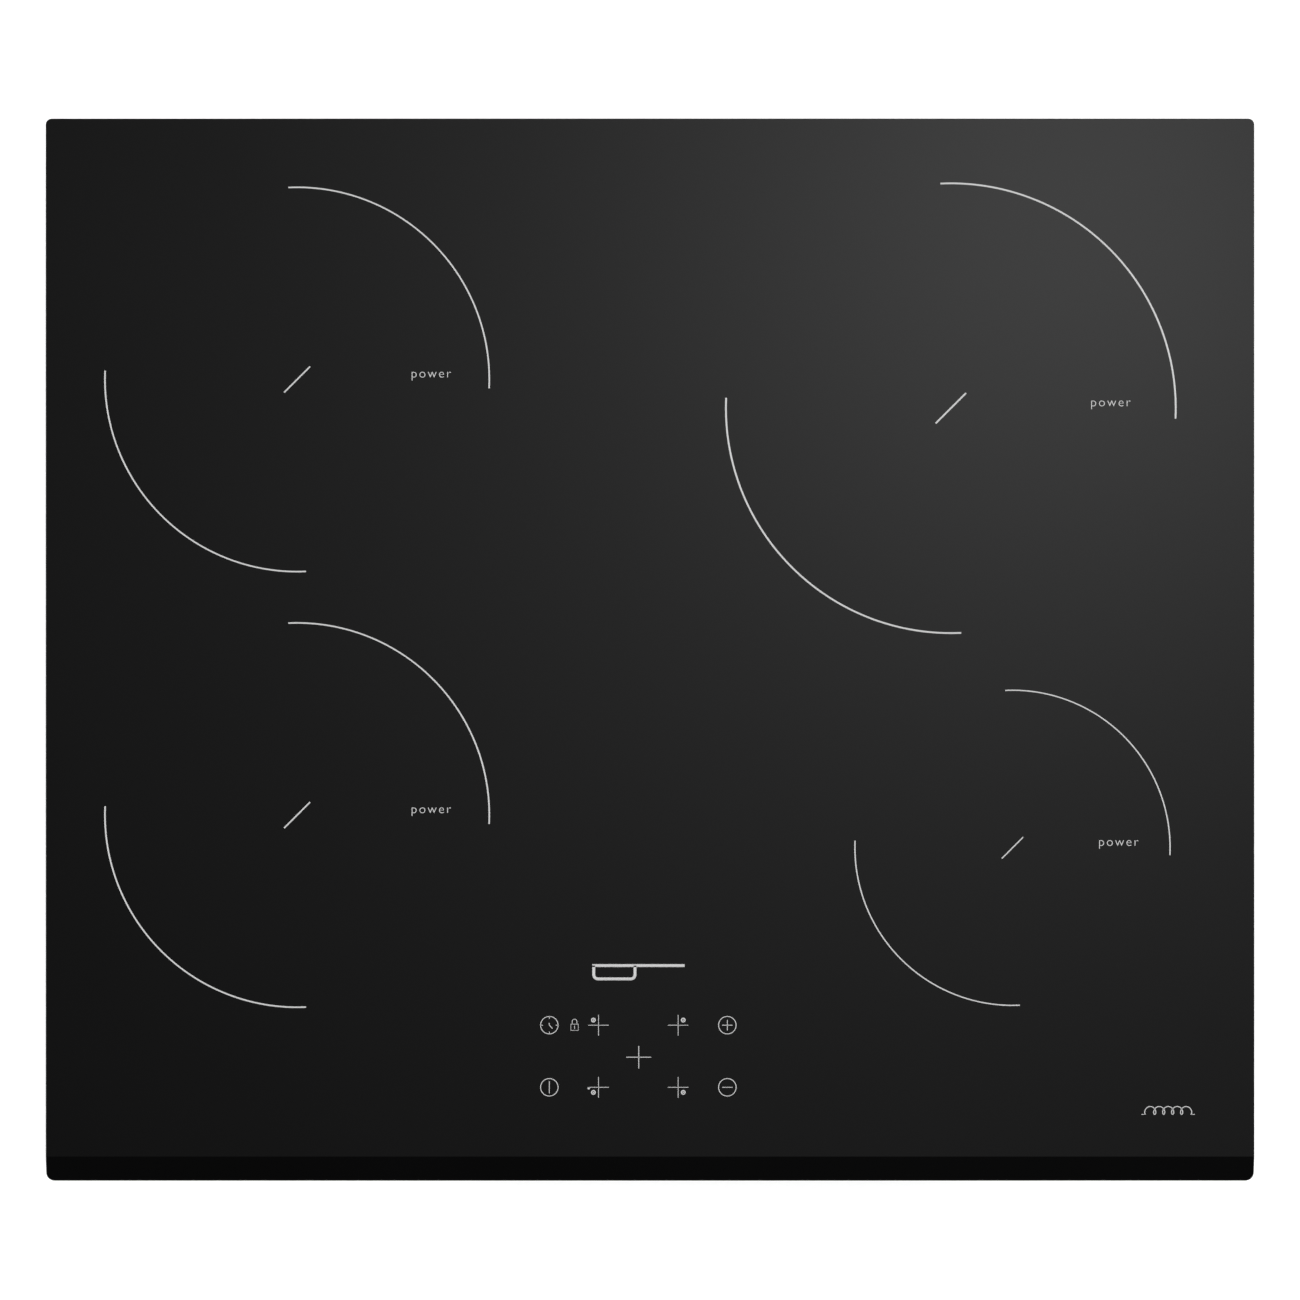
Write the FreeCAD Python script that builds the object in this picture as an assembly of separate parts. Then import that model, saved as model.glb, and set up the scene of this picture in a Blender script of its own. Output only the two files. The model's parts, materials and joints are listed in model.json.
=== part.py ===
"""Built-in four-zone induction cooktop, in millimetres.

Frame: X runs to the user's right, Y towards the back of the worktop and Z up. The origin is the centre
of the glass in plan, on the worktop's top surface, which is the plane that the seal rests on.
A bonded glass assembly sits on a stepped sheet-steel case that hangs in the worktop's cut-out.
"""

import FreeCAD
import Part
import math
import os

Vec = FreeCAD.Vector

# ---------------------------------------------------------------- driving dimensions
GLASS_W, GLASS_D, GLASS_T = 580.0, 510.0, 4.0
REAR_CORNER_R, FRONT_CORNER_R = 3.0, 4.0
FRONT_BEVEL_W, FRONT_BEVEL_DROP = 12.0, 2.2
ARRIS = 0.5  # ground edge all round the glass
CUTOUT_W, CUTOUT_D = 560.0, 490.0  # the worktop's cut-out
SEAL_W, SEAL_T = 8.0, 2.0
SHEET = 0.8  # case sheet steel

UPPER_W, UPPER_D, UPPER_R = 552.0, 482.0, 12.0
LOWER_W, LOWER_D, LOWER_R = 512.0, 442.0, 14.0
RIM_Z = 0.8  # top edge of the case wall
STEP_Z = -26.0  # underside of the case's ledge
BASE_Z = -47.5  # underside of the case's floor
FOOT_Z = -49.0  # underside of the pressed feet

# cooking zones: centre x, centre y, printed ring radius, ferrite bars under the coil
ZONES = {
    "rear_left": (-169.3, 129.8, 92.2, 8),
    "front_left": (-169.3, -79.2, 92.2, 8),
    "rear_right": (144.3, 116.0, 107.9, 10),
    "front_right": (173.9, -94.9, 75.6, 6),
}
COIL_INSET = 4.5  # the wound coil ends this far inside its printed ring
KEY_CENTRE_X, KEY_CENTRE_Y = -5.6, -194.9
KEY_ROW_Y = 14.9  # the two rows of keys lie this far from the centre
KEY_COLUMNS_X = (-42.7, -19.1, 19.1, 42.7)

# ---------------------------------------------------------------- heights that follow from them
GLASS_Z = SEAL_T  # underside of the glass
TOP_Z = GLASS_Z + GLASS_T
BOND_T, BOND_W = 1.0, 12.0
FRAME_T, FRAME_FLANGE, FRAME_LEG = 1.0, 14.0, 12.0
FRAME_GAP = 0.4  # between the frame's leg and the case wall
FLOOR_Z = BASE_Z + SHEET  # inside of the case's floor
LEDGE_Z = STEP_Z + SHEET  # inside of the case's ledge
MICA_T, WINDING_T = 0.8, 4.0
WINDING_Z = GLASS_Z - MICA_T - WINDING_T
FORMER_T = 5.5
FORMER_Z = WINDING_Z - FORMER_T
SPRING_H = 6.5
TRAY_T = 1.0
TRAY_Z = FORMER_Z - SPRING_H - TRAY_T
BOARD_T = 1.6
BOARD_Z = -40.5  # underside of the power boards
BOARD_TOP = BOARD_Z + BOARD_T
PARTS_TOP = -19.9  # no board part stands higher

FAN_X, FAN_Y, FAN_R = 0.0, 140.0, 57.0
FAN_TOP = -18.5
CLAMP_X, CLAMP_Y = 266.0, 150.0  # clamp pivots lie at plus and minus these
CLAMP_T, CLAMP_L, CLAMP_W = 1.5, 44.0, 12.0
CLAMP_TOP = -29.0
TERMINAL_X0, TERMINAL_X1 = 138.0, 218.0  # hole in the case's floor for the terminal cover
TERMINAL_Y0, TERMINAL_Y1 = 165.5, 214.0
HINGE_Y, HINGE_Z = 169.5, -45.5
INLET_X, INLET_Z, INLET_R = 178.0, -36.0, 6.0
FRAME_SCREW_Z = -6.0

LEFT, RIGHT = -1, 1


# ---------------------------------------------------------------- shape helpers
def box(x0, x1, y0, y1, z0, z1):
    return Part.makeBox(x1 - x0, y1 - y0, z1 - z0, Vec(x0, y0, z0))


def rod(x, y, z0, z1, r):
    return Part.makeCylinder(r, z1 - z0, Vec(x, y, z0))


def pipe(x, y, z0, z1, r_out, r_in):
    return rod(x, y, z0, z1, r_out).cut(rod(x, y, z0 - 1, z1 + 1, r_in))


def outline(w, d, z, rear_r, front_r, cx=0.0, cy=0.0):
    """Wire round a rectangle w by d at height z, with one radius for the rear and one for the front corners."""
    corners = []
    for sx, sy, start, r in ((1, -1, 270, front_r), (1, 1, 0, rear_r), (-1, 1, 90, rear_r), (-1, -1, 180, front_r)):
        x, y = cx + sx * (w / 2 - r), cy + sy * (d / 2 - r)
        angles = [math.radians(start + turn) for turn in (0, 45, 90)]
        corners.append([Vec(x + r * math.cos(a), y + r * math.sin(a), z) for a in angles])
    edges = []
    for i, (a, middle, b) in enumerate(corners):
        edges.append(Part.Arc(a, middle, b).toShape())
        edges.append(Part.LineSegment(b, corners[(i + 1) % 4][0]).toShape())
    return Part.Wire(edges)


def slab(w, d, r, z0, z1, cx=0.0, cy=0.0):
    """Rounded rectangle w by d from z0 to z1."""
    return Part.Face(outline(w, d, z0, r, r, cx, cy)).extrude(Vec(0, 0, z1 - z0))


def band(w, d, r, wall, z0, z1, cx=0.0, cy=0.0):
    """Rectangular ring: outside w by d, with this wall."""
    inner = slab(w - 2 * wall, d - 2 * wall, max(r - wall, 0.5), z0 - 1, z1 + 1, cx, cy)
    return slab(w, d, r, z0, z1, cx, cy).cut(inner)


def round_low_edges(shape, z, r):
    """Rounds the edges that lie flat at height z, as a folded sheet's bend does."""
    low = [e for e in shape.Edges if abs(e.BoundBox.ZMin - z) < 1e-6 and abs(e.BoundBox.ZMax - z) < 1e-6]
    return shape.makeFillet(r, low)


def stadium(x0, x1, y, half_width, z0, z1):
    """Round-ended slot along X between the centres x0 and x1."""
    middle = box(x0, x1, y - half_width, y + half_width, z0, z1)
    return middle.fuse([rod(x0, y, z0, z1, half_width), rod(x1, y, z0, z1, half_width)]).removeSplitter()


def wall_slot(x, y, z_mid, length, width, depth, across):
    """Upright round-ended slot through a wall. across is the direction through the wall, (1, 0) or (0, 1)."""
    direction = Vec(across[0], across[1], 0)
    start = Vec(x, y, z_mid) - direction * (depth / 2)
    reach = (length - width) / 2
    side = Vec(across[1], across[0], 0) * (width / 2)
    low = start - side - Vec(0, 0, reach)
    corners = [low, low + side * 2, low + side * 2 + Vec(0, 0, 2 * reach), low + Vec(0, 0, 2 * reach), low]
    middle = Part.Face(Part.makePolygon(corners)).extrude(direction * depth)
    ends = [Part.makeCylinder(width / 2, depth, start + Vec(0, 0, s * reach), direction) for s in (-1, 1)]
    return middle.fuse(ends)


def screw(place, out, head_r, head_h, shank_r, length):
    """Pan-head screw with a cross recess. place is the centre under its head, out the way the head faces."""
    head = Part.makeCylinder(head_r, head_h)
    head = head.makeFillet(head_h * 0.45, [e for e in head.Edges if e.BoundBox.ZMin > head_h - 1e-6])
    arm, depth = head_r * 0.55, head_h * 0.55
    recess = [
        box(-arm, arm, -arm / 5, arm / 5, head_h - depth, head_h + 1),
        box(-arm / 5, arm / 5, -arm, arm, head_h - depth, head_h + 1),
    ]
    tip = Part.makeCone(shank_r * 0.4, shank_r, shank_r, Vec(0, 0, -length))
    shank = Part.makeCylinder(shank_r, length - shank_r, Vec(0, 0, -length + shank_r))
    shape = head.cut(recess).fuse([shank, tip]).removeSplitter()
    shape.Placement = FreeCAD.Placement(Vec(*place), FreeCAD.Rotation(Vec(0, 0, 1), Vec(*out)))
    return shape


def cable(points, r):
    """Round lead along straight runs joined by arcs as large as the runs allow."""
    points = [Vec(*p) for p in points]
    edges, start = [], points[0]
    for before, corner, after in zip(points, points[1:], points[2:]):
        into, away = corner - before, after - corner
        turn = into.getAngle(away)
        trim = 0.45 * min(into.Length, away.Length)
        a = corner - into * (trim / into.Length)
        b = corner + away * (trim / away.Length)
        bulge = (a + b) * 0.5 - corner
        radius = trim / math.tan(turn / 2)
        middle = corner + bulge * ((math.hypot(radius, trim) - radius) / bulge.Length)
        edges += [Part.LineSegment(start, a).toShape(), Part.Arc(a, middle, b).toShape()]
        start = b
    edges.append(Part.LineSegment(start, points[-1]).toShape())
    ring = Part.Circle(points[0], points[1] - points[0], r).toShape()
    return Part.Wire(edges).makePipeShell([Part.Wire(ring)], True, False)


def mirrored(shape):
    return shape.mirror(Vec(0, 0, 0), Vec(1, 0, 0))


def group(shapes):
    return Part.makeCompound(shapes)


def copies(shape, places):
    found = []
    for x, y in places:
        one = shape.copy()
        one.translate(Vec(x, y, 0))
        found.append(one)
    return group(found)


def spring_sleeve(mean_r, wire, height, turns, z0):
    """Closed sleeve in the place of a wire spring, with its outside scalloped by the turns."""
    inner, crest, pitch = mean_r - wire / 2, mean_r + wire / 2, height / turns
    edges = [Part.LineSegment(Vec(inner, 0, z0), Vec(mean_r, 0, z0)).toShape()]
    for i in range(turns):
        low, middle, high = [z0 + (i + part) * pitch for part in (0, 0.5, 1)]
        edges.append(Part.Arc(Vec(mean_r, 0, low), Vec(crest, 0, middle), Vec(mean_r, 0, high)).toShape())
    edges.append(Part.LineSegment(Vec(mean_r, 0, z0 + height), Vec(inner, 0, z0 + height)).toShape())
    edges.append(Part.LineSegment(Vec(inner, 0, z0 + height), Vec(inner, 0, z0)).toShape())
    return Part.Face(Part.Wire(edges)).revolve(Vec(0, 0, 0), Vec(0, 0, 1), 360)


# ---------------------------------------------------------------- glass, seal and frame
def glass_plate():
    """Glass-ceramic plate, with ground edges and a wide facet along the front."""
    face = Part.Face(outline(GLASS_W, GLASS_D, GLASS_Z, REAR_CORNER_R, FRONT_CORNER_R))
    plate = face.extrude(Vec(0, 0, GLASS_T))
    rims = [e for e in plate.Edges if e.BoundBox.ZMax - e.BoundBox.ZMin < 1e-6]
    plate = plate.makeChamfer(ARRIS, rims)
    front = -GLASS_D / 2
    slope = FRONT_BEVEL_DROP / FRONT_BEVEL_W
    reach = 10.0
    facet = [
        Vec(-GLASS_W, front + FRONT_BEVEL_W, TOP_Z),
        Vec(-GLASS_W, front + FRONT_BEVEL_W, TOP_Z + reach),
        Vec(-GLASS_W, front - reach, TOP_Z + reach),
        Vec(-GLASS_W, front - reach, TOP_Z - slope * (FRONT_BEVEL_W + reach)),
        Vec(-GLASS_W, front + FRONT_BEVEL_W, TOP_Z),
    ]
    return plate.cut(Part.Face(Part.makePolygon(facet)).extrude(Vec(2 * GLASS_W, 0, 0)))


def worktop_seal():
    """Closed-cell foam strip under the rim of the glass, just outside the worktop's cut-out."""
    return band(CUTOUT_W + 2 * SEAL_W, CUTOUT_D + 2 * SEAL_W, 10.0, SEAL_W, 0.0, SEAL_T)


def frame_outside():
    gap = 2 * (SHEET + FRAME_GAP)
    return UPPER_W - gap, UPPER_D - gap, UPPER_R - gap / 2


def glass_bond():
    """Silicone bead that holds the support frame to the glass."""
    w, d, r = frame_outside()
    return band(w, d, r, BOND_W, GLASS_Z - BOND_T, GLASS_Z)


def frame_screw_places():
    """(place, outward direction) of the screws through the case wall into the frame's leg."""
    for x in (-200, 0, 200):
        for side in (-1, 1):
            yield (x, side * UPPER_D / 2, FRAME_SCREW_Z), (0, side, 0)
    for y in (-170, 0, 170):
        for side in (-1, 1):
            yield (side * UPPER_W / 2, y, FRAME_SCREW_Z), (side, 0, 0)


def wall_holes(r):
    """Short rods through the case wall and the frame's leg at each frame screw."""
    depth = 6.0
    for place, out in frame_screw_places():
        centre = Vec(*place) - Vec(*out) * depth
        yield Part.makeCylinder(r, 2 * depth, centre, Vec(*out))


def support_frame():
    """Folded L-section ring: its flange is bonded under the glass, and its leg takes the case screws."""
    w, d, r = frame_outside()
    flange_top = GLASS_Z - BOND_T
    flange = band(w, d, r, FRAME_FLANGE, flange_top - FRAME_T, flange_top)
    leg = band(w, d, r, FRAME_T, flange_top - FRAME_LEG, flange_top - FRAME_T)
    return flange.fuse(leg).removeSplitter().cut(list(wall_holes(1.5)))


def frame_screws():
    return group([screw(p, out, 3.6, 1.8, 1.4, 6.0) for p, out in frame_screw_places()])


# ---------------------------------------------------------------- case
def intake_grille():
    """Concentric slots under the fan, split by spokes."""
    slots = [pipe(FAN_X, FAN_Y, BASE_Z - 2, FLOOR_Z + 2, r + 1.7, r - 1.7) for r in range(10, 39, 7)]
    spokes = []
    for turn in range(0, 180, 45):
        bar = box(FAN_X - 50, FAN_X + 50, FAN_Y - 2.2, FAN_Y + 2.2, BASE_Z - 3, FLOOR_Z + 3)
        bar.rotate(Vec(FAN_X, FAN_Y, 0), Vec(0, 0, 1), turn)
        spokes.append(bar)
    return [s.cut(spokes) for s in slots]


def wall_vents():
    """Upright slots in the walls below the ledge: hot air out in front, room air in behind and at the sides."""
    middle, length, width = (STEP_Z + BASE_Z) / 2, 12.0, 3.2
    slots = []
    for i in range(-17, 18):
        slots.append(wall_slot(i * 8.0, -LOWER_D / 2, middle, length, width, 8, (0, 1)))
    for i in range(14):
        slots.append(wall_slot(-210 + i * 8.0, LOWER_D / 2, middle, length, width, 8, (0, 1)))
    for side in (-1, 1):
        for i in range(-8, 9):
            slots.append(wall_slot(side * LOWER_W / 2, -40 + i * 8.0, middle, length, width, 8, (1, 0)))
    return slots


def foot_places():
    return [(sx * 236.0, sy * 201.0) for sx in (-1, 1) for sy in (-1, 1)]


def bead_places():
    """Stiffening grooves pressed in the floor: centre line start x, end x, y."""
    return [(-205, 205, -203), (-200, 200, -100), (-200, 200, 10), (-200, -80, 120)]


def clamp_places():
    """Name and pivot of each worktop clamp."""
    for row, sy in (("rear", 1), ("front", -1)):
        for column, sx in (("left", -1), ("right", 1)):
            yield f"{row}_{column}", sx * CLAMP_X, sy * CLAMP_Y


def lower_case():
    """Pressed sheet-steel pan: wide at the rim, stepped in below the worktop to clear the clamps."""
    two = 2 * SHEET
    outer_top = round_low_edges(slab(UPPER_W, UPPER_D, UPPER_R, STEP_Z, RIM_Z), STEP_Z, 2.4)
    outer_low = round_low_edges(slab(LOWER_W, LOWER_D, LOWER_R, BASE_Z, STEP_Z + 0.4), BASE_Z, 3.0)
    inner_top = slab(UPPER_W - two, UPPER_D - two, UPPER_R - SHEET, LEDGE_Z, RIM_Z + 1)
    inner_top = round_low_edges(inner_top, LEDGE_Z, 2.4 - SHEET)
    inner_low = slab(LOWER_W - two, LOWER_D - two, LOWER_R - SHEET, FLOOR_Z, LEDGE_Z + 0.4)
    inner_low = round_low_edges(inner_low, FLOOR_Z, 3.0 - SHEET)
    pan = outer_top.fuse(outer_low).removeSplitter().cut(inner_top.fuse(inner_low))

    depth = BASE_Z - FOOT_Z
    feet = [Part.makeCone(12, 14, depth, Vec(x, y, FOOT_Z)) for x, y in foot_places()]
    hollows = [Part.makeCone(11.2, 13.4, depth + 0.1, Vec(x, y, FOOT_Z + SHEET)) for x, y in foot_places()]
    ridges, grooves = [], []
    for x0, x1, y in bead_places():
        ridges.append(stadium(x0, x1, y, 5 + SHEET, BASE_Z + 0.1, FLOOR_Z + 1.3))
        grooves.append(stadium(x0, x1, y, 5, BASE_Z - 2, BASE_Z + 1.3))
    pan = pan.fuse(feet + ridges).removeSplitter().cut(hollows + grooves)

    holes = intake_grille() + wall_vents() + list(wall_holes(2.2))
    holes += [rod(x, y, STEP_Z - 1, LEDGE_Z + 1, 3.05) for _, x, y in clamp_places()]
    holes += [rod(x, y, BASE_Z - 1, FLOOR_Z + 1, 1.7) for x, y in base_screw_places()]
    holes += [rod(x, y, STEP_Z - 1, LEDGE_Z + 1, 1.5) for x, y in tray_foot_places()]
    width, length = TERMINAL_X1 - TERMINAL_X0, TERMINAL_Y1 - TERMINAL_Y0
    centre_x, centre_y = (TERMINAL_X0 + TERMINAL_X1) / 2, (TERMINAL_Y0 + TERMINAL_Y1) / 2
    holes.append(slab(width, length, 2.0, BASE_Z - 1, FLOOR_Z + 1, centre_x, centre_y))
    holes.append(Part.makeCylinder(INLET_R + 1.55, 6, Vec(INLET_X, LOWER_D / 2 - 3, INLET_Z), Vec(0, 1, 0)))
    return pan.cut(holes)


# ---------------------------------------------------------------- worktop clamps
def worktop_clamp(x, y):
    """Channel-shaped steel arm, stowed along the side of the case and swung out under the worktop."""
    inward = -1 if y > 0 else 1
    half, low = CLAMP_W / 2, CLAMP_TOP - CLAMP_T
    far = y + inward * CLAMP_L
    y0, y1 = min(y, far), max(y, far)
    arm = box(x - half, x + half, y0, y1, low, CLAMP_TOP).fuse(rod(x, y, low, CLAMP_TOP, half))
    lip_y0, lip_y1 = sorted((far, y + inward * 12))
    lips = [box(x - half, x - half + 1.2, lip_y0, lip_y1, low - 3, low + 0.5)]
    lips.append(box(x + half - 1.2, x + half, lip_y0, lip_y1, low - 3, low + 0.5))
    return arm.fuse(lips).removeSplitter().cut(rod(x, y, low - 1, CLAMP_TOP + 1, 2.3))


def clamp_screws():
    """Machine screws that pull the clamps up against the worktop."""
    seat = CLAMP_TOP - CLAMP_T - 0.1
    return group([screw((x, y, seat), (0, 0, -1), 4.0, 2.4, 2.0, 15.0) for _, x, y in clamp_places()])


def rivet_nuts():
    """Blind rivet nuts set in the case's ledge, one for each clamp screw."""
    nuts = []
    for _, x, y in clamp_places():
        flange = rod(x, y, STEP_Z - 0.8, STEP_Z, 5.0)
        barrel = rod(x, y, STEP_Z, -17.0, 3.0)
        bulge = rod(x, y, LEDGE_Z, LEDGE_Z + 2.6, 4.2)
        nuts.append(flange.fuse([barrel, bulge]).removeSplitter().cut(rod(x, y, -40, 0, 2.05)))
    return group(nuts)


# ---------------------------------------------------------------- coils
def coil_r(zone):
    return ZONES[zone][2] - COIL_INSET


def around(x, y, r, count, first=0.0):
    """Points evenly spaced on a circle, each with its angle in degrees."""
    for i in range(count):
        turn = first + 360.0 * i / count
        angle = math.radians(turn)
        yield x + r * math.cos(angle), y + r * math.sin(angle), turn


def radial_box(x, y, turn, r0, r1, width, z0, z1):
    """Box that lies along a radius from r0 to r1."""
    bar = box(x + r0, x + r1, y - width / 2, y + width / 2, z0, z1)
    bar.rotate(Vec(x, y, 0), Vec(0, 0, 1), turn)
    return bar


BAR_W, BAR_H, BAR_R0 = 12.0, 4.0, 24.0


def coil_former(zone):
    """Moulded spider that carries the winding, with a pocket for each ferrite bar."""
    x, y, _, bars = ZONES[zone]
    r = coil_r(zone) + 3
    disc = rod(x, y, FORMER_Z, WINDING_Z, r)
    spokes = [radial_box(x, y, t, 0, r, BAR_W + 3, FORMER_Z - 2, 2) for _, _, t in around(x, y, 1, bars)]
    windows = pipe(x, y, FORMER_Z - 1, WINDING_Z + 1, r - 6, BAR_R0 + 8).cut(spokes)
    pockets = []
    for _, _, turn in around(x, y, 1, bars):
        pocket = radial_box(x, y, turn, BAR_R0 - 0.2, coil_r(zone) - 3.8, BAR_W + 0.4, FORMER_Z + 1.4, 2)
        pockets.append(pocket)
    return disc.cut([windows, rod(x, y, FORMER_Z - 1, 2, 8.0)] + pockets)


def ferrite_bars():
    """Bars of ferrite that lie under the windings and turn their field back up."""
    z0, found = FORMER_Z + 1.4, []
    for zone, (x, y, _, bars) in ZONES.items():
        reach = coil_r(zone) - 4
        found += [radial_box(x, y, t, BAR_R0, reach, BAR_W, z0, z0 + BAR_H) for _, _, t in around(x, y, 1, bars)]
    return group(found)


def coil_winding(zone):
    """Flat spiral of stranded wire, as one ring whose faces are scalloped by its turns."""
    x, y, _, _ = ZONES[zone]
    r_in, r_out = 20.0, coil_r(zone)
    turns = int((r_out - r_in) / 3.6)
    pitch, dip = (r_out - r_in) / turns, 0.7
    edges = []
    for top in (True, False):
        z, inner = (WINDING_Z + WINDING_T, -dip) if top else (WINDING_Z, dip)
        order = range(turns) if top else range(turns - 1, -1, -1)
        for i in order:
            near, far = r_in + i * pitch, r_in + (i + 1) * pitch
            first, last = (near, far) if top else (far, near)
            crest = Vec((near + far) / 2, 0, z)
            edges.append(Part.Arc(Vec(first, 0, z + inner), crest, Vec(last, 0, z + inner)).toShape())
        side = r_out if top else r_in
        ends = (WINDING_Z + WINDING_T - dip, WINDING_Z + dip)
        first, last = ends if top else ends[::-1]
        edges.append(Part.LineSegment(Vec(side, 0, first), Vec(side, 0, last)).toShape())
    ring = Part.Face(Part.Wire(edges)).revolve(Vec(0, 0, 0), Vec(0, 0, 1), 360)
    ring.translate(Vec(x, y, 0))
    return ring


def mica_discs():
    """Mica sheets between the windings and the glass."""
    z0 = GLASS_Z - MICA_T
    return group([pipe(ZONES[z][0], ZONES[z][1], z0, GLASS_Z, coil_r(z) + 1, 9.0) for z in ZONES])


def temperature_sensors():
    """Sensor pushed up against the glass through the middle of each coil."""
    sensors = []
    for x, y, _, _ in ZONES.values():
        flange = rod(x, y, FORMER_Z - 1.2, FORMER_Z, 11.0)
        body = rod(x, y, FORMER_Z, GLASS_Z - 1, 7.5)
        cap = rod(x, y, GLASS_Z - 1, GLASS_Z, 6.0)
        sensors.append(flange.fuse([body, cap]).removeSplitter())
    return group(sensors)


def coil_springs():
    """Compression springs under every other spoke, which press the coils to the glass."""
    places = []
    for zone, (x, y, _, bars) in ZONES.items():
        places += [(px, py) for px, py, _ in around(x, y, coil_r(zone) * 0.62, bars // 2)]
    return copies(spring_sleeve(3.8, 0.9, SPRING_H, 5, TRAY_Z + TRAY_T), places)


TRAY_X, TRAY_REAR, TRAY_FRONT = 262.0, 227.0, -172.0
TRAY_TAB, TRAY_FOOT = 30.0, 9.0


def tray_foot_places():
    """Screw places of the coil tray's feet on the case's ledge."""
    sides = [(sx * (TRAY_X + 5), y) for sx in (-1, 1) for y in (-110, 0, 105)]
    return sides + [(x, TRAY_REAR + 5) for x in (-150, 0, 150)]


def lead_places():
    """Where each coil's pair of leads drops through the tray, and where it ends on its power board."""
    return {
        "rear_left": ((-128.0, 78.0), (-128.0, 44.0)),
        "front_left": ((-116.0, -62.0), (-108.0, -84.0)),
        "rear_right": ((118.0, 74.0), (118.0, 44.0)),
        "front_right": ((128.0, -72.0), (108.0, -84.0)),
    }


def coil_tray():
    """Aluminium sheet that carries the coils and screens the electronics, on legs folded down to the ledge."""
    depth = TRAY_REAR - TRAY_FRONT
    cy = (TRAY_REAR + TRAY_FRONT) / 2
    top = TRAY_Z + TRAY_T
    pieces = [slab(2 * TRAY_X, depth, 8, TRAY_Z, top, 0, cy)]
    half = TRAY_TAB / 2
    foot_top = LEDGE_Z + TRAY_T
    for x, y in tray_foot_places():
        if abs(x) > TRAY_X:
            s = 1 if x > 0 else -1
            leg_x = sorted((s * TRAY_X, s * (TRAY_X - TRAY_T)))
            foot_x = sorted((s * (TRAY_X - TRAY_T), s * (TRAY_X + TRAY_FOOT)))
            pieces.append(box(*leg_x, y - half, y + half, LEDGE_Z, TRAY_Z + 0.5))
            pieces.append(box(*foot_x, y - half, y + half, LEDGE_Z, foot_top))
        else:
            pieces.append(box(x - half, x + half, TRAY_REAR - TRAY_T, TRAY_REAR, LEDGE_Z, TRAY_Z + 0.5))
            pieces.append(box(x - half, x + half, TRAY_REAR - TRAY_T, TRAY_REAR + TRAY_FOOT, LEDGE_Z, foot_top))
    pieces.append(box(-TRAY_X + 12, TRAY_X - 12, TRAY_FRONT, TRAY_FRONT + TRAY_T, TRAY_Z - 6, TRAY_Z + 0.5))
    holes = [rod(x, y, TRAY_Z - 1, top + 1, 13.0) for x, y, _, _ in ZONES.values()]
    holes += [stadium(x - 8, x + 8, y, 6, TRAY_Z - 1, top + 1) for (x, y), _ in lead_places().values()]
    holes += [rod(x, y, LEDGE_Z - 1, foot_top + 1, 1.9) for x, y in tray_foot_places()]
    return pieces[0].fuse(pieces[1:]).removeSplitter().cut(holes)


def tray_screws():
    top = LEDGE_Z + TRAY_T
    return [screw((x, y, top), (0, 0, 1), 3.4, 1.7, 1.4, 4.0) for x, y in tray_foot_places()]


def coil_leads():
    """Two stranded leads from each coil down to the terminals on its power board."""
    leads = []
    for (x, y), (end_x, end_y) in lead_places().values():
        for offset in (-4.0, 4.0):
            route = [
                (x + offset, y, FORMER_Z - 0.2),
                (x + offset, y, -23.0),
                (end_x + offset, end_y, -25.0),
                (end_x + offset, end_y, BOARD_TOP + 6.0),
            ]
            leads.append(cable(route, 1.6))
    return leads


def lead_terminals():
    """Brass posts on the boards that the coil leads are pushed on."""
    posts = []
    for _, (x, y) in lead_places().values():
        for offset in (-4.0, 4.0):
            post = box(x + offset - 3, x + offset + 3, y - 4, y + 4, BOARD_TOP, BOARD_TOP + 2)
            posts.append(post.fuse(rod(x + offset, y, BOARD_TOP, BOARD_TOP + 6.0, 2.4)).removeSplitter())
    return group(posts)


# ---------------------------------------------------------------- power electronics
BOARD_X0, BOARD_X1, BOARD_Y0, BOARD_Y1 = 35.0, 240.0, -165.0, 60.0  # the right board; the left one mirrors it
FILTER = (-240.0, -86.0, 80.0, 205.0)
TRAY_MARGIN = 3.0
TRAY_FLOOR_Z = -44.5


def board_screw_places(x0, x1, y0, y1):
    inset = 6.0
    return [(x, y) for x in (x0 + inset, x1 - inset) for y in (y0 + inset, y1 - inset)]


def boards():
    """Left, right and filter board outlines."""
    right = (BOARD_X0, BOARD_X1, BOARD_Y0, BOARD_Y1)
    left = (-BOARD_X1, -BOARD_X0, BOARD_Y0, BOARD_Y1)
    return {"left": left, "right": right, "filter": FILTER}


def tray_boss_places(x0, x1, y0, y1):
    """Where a board tray stands on the case's floor, between its board screws."""
    inset = 22.0
    return [(x, y) for x in (x0 + inset, x1 - inset) for y in (y0 + inset, y1 - inset)]


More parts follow.
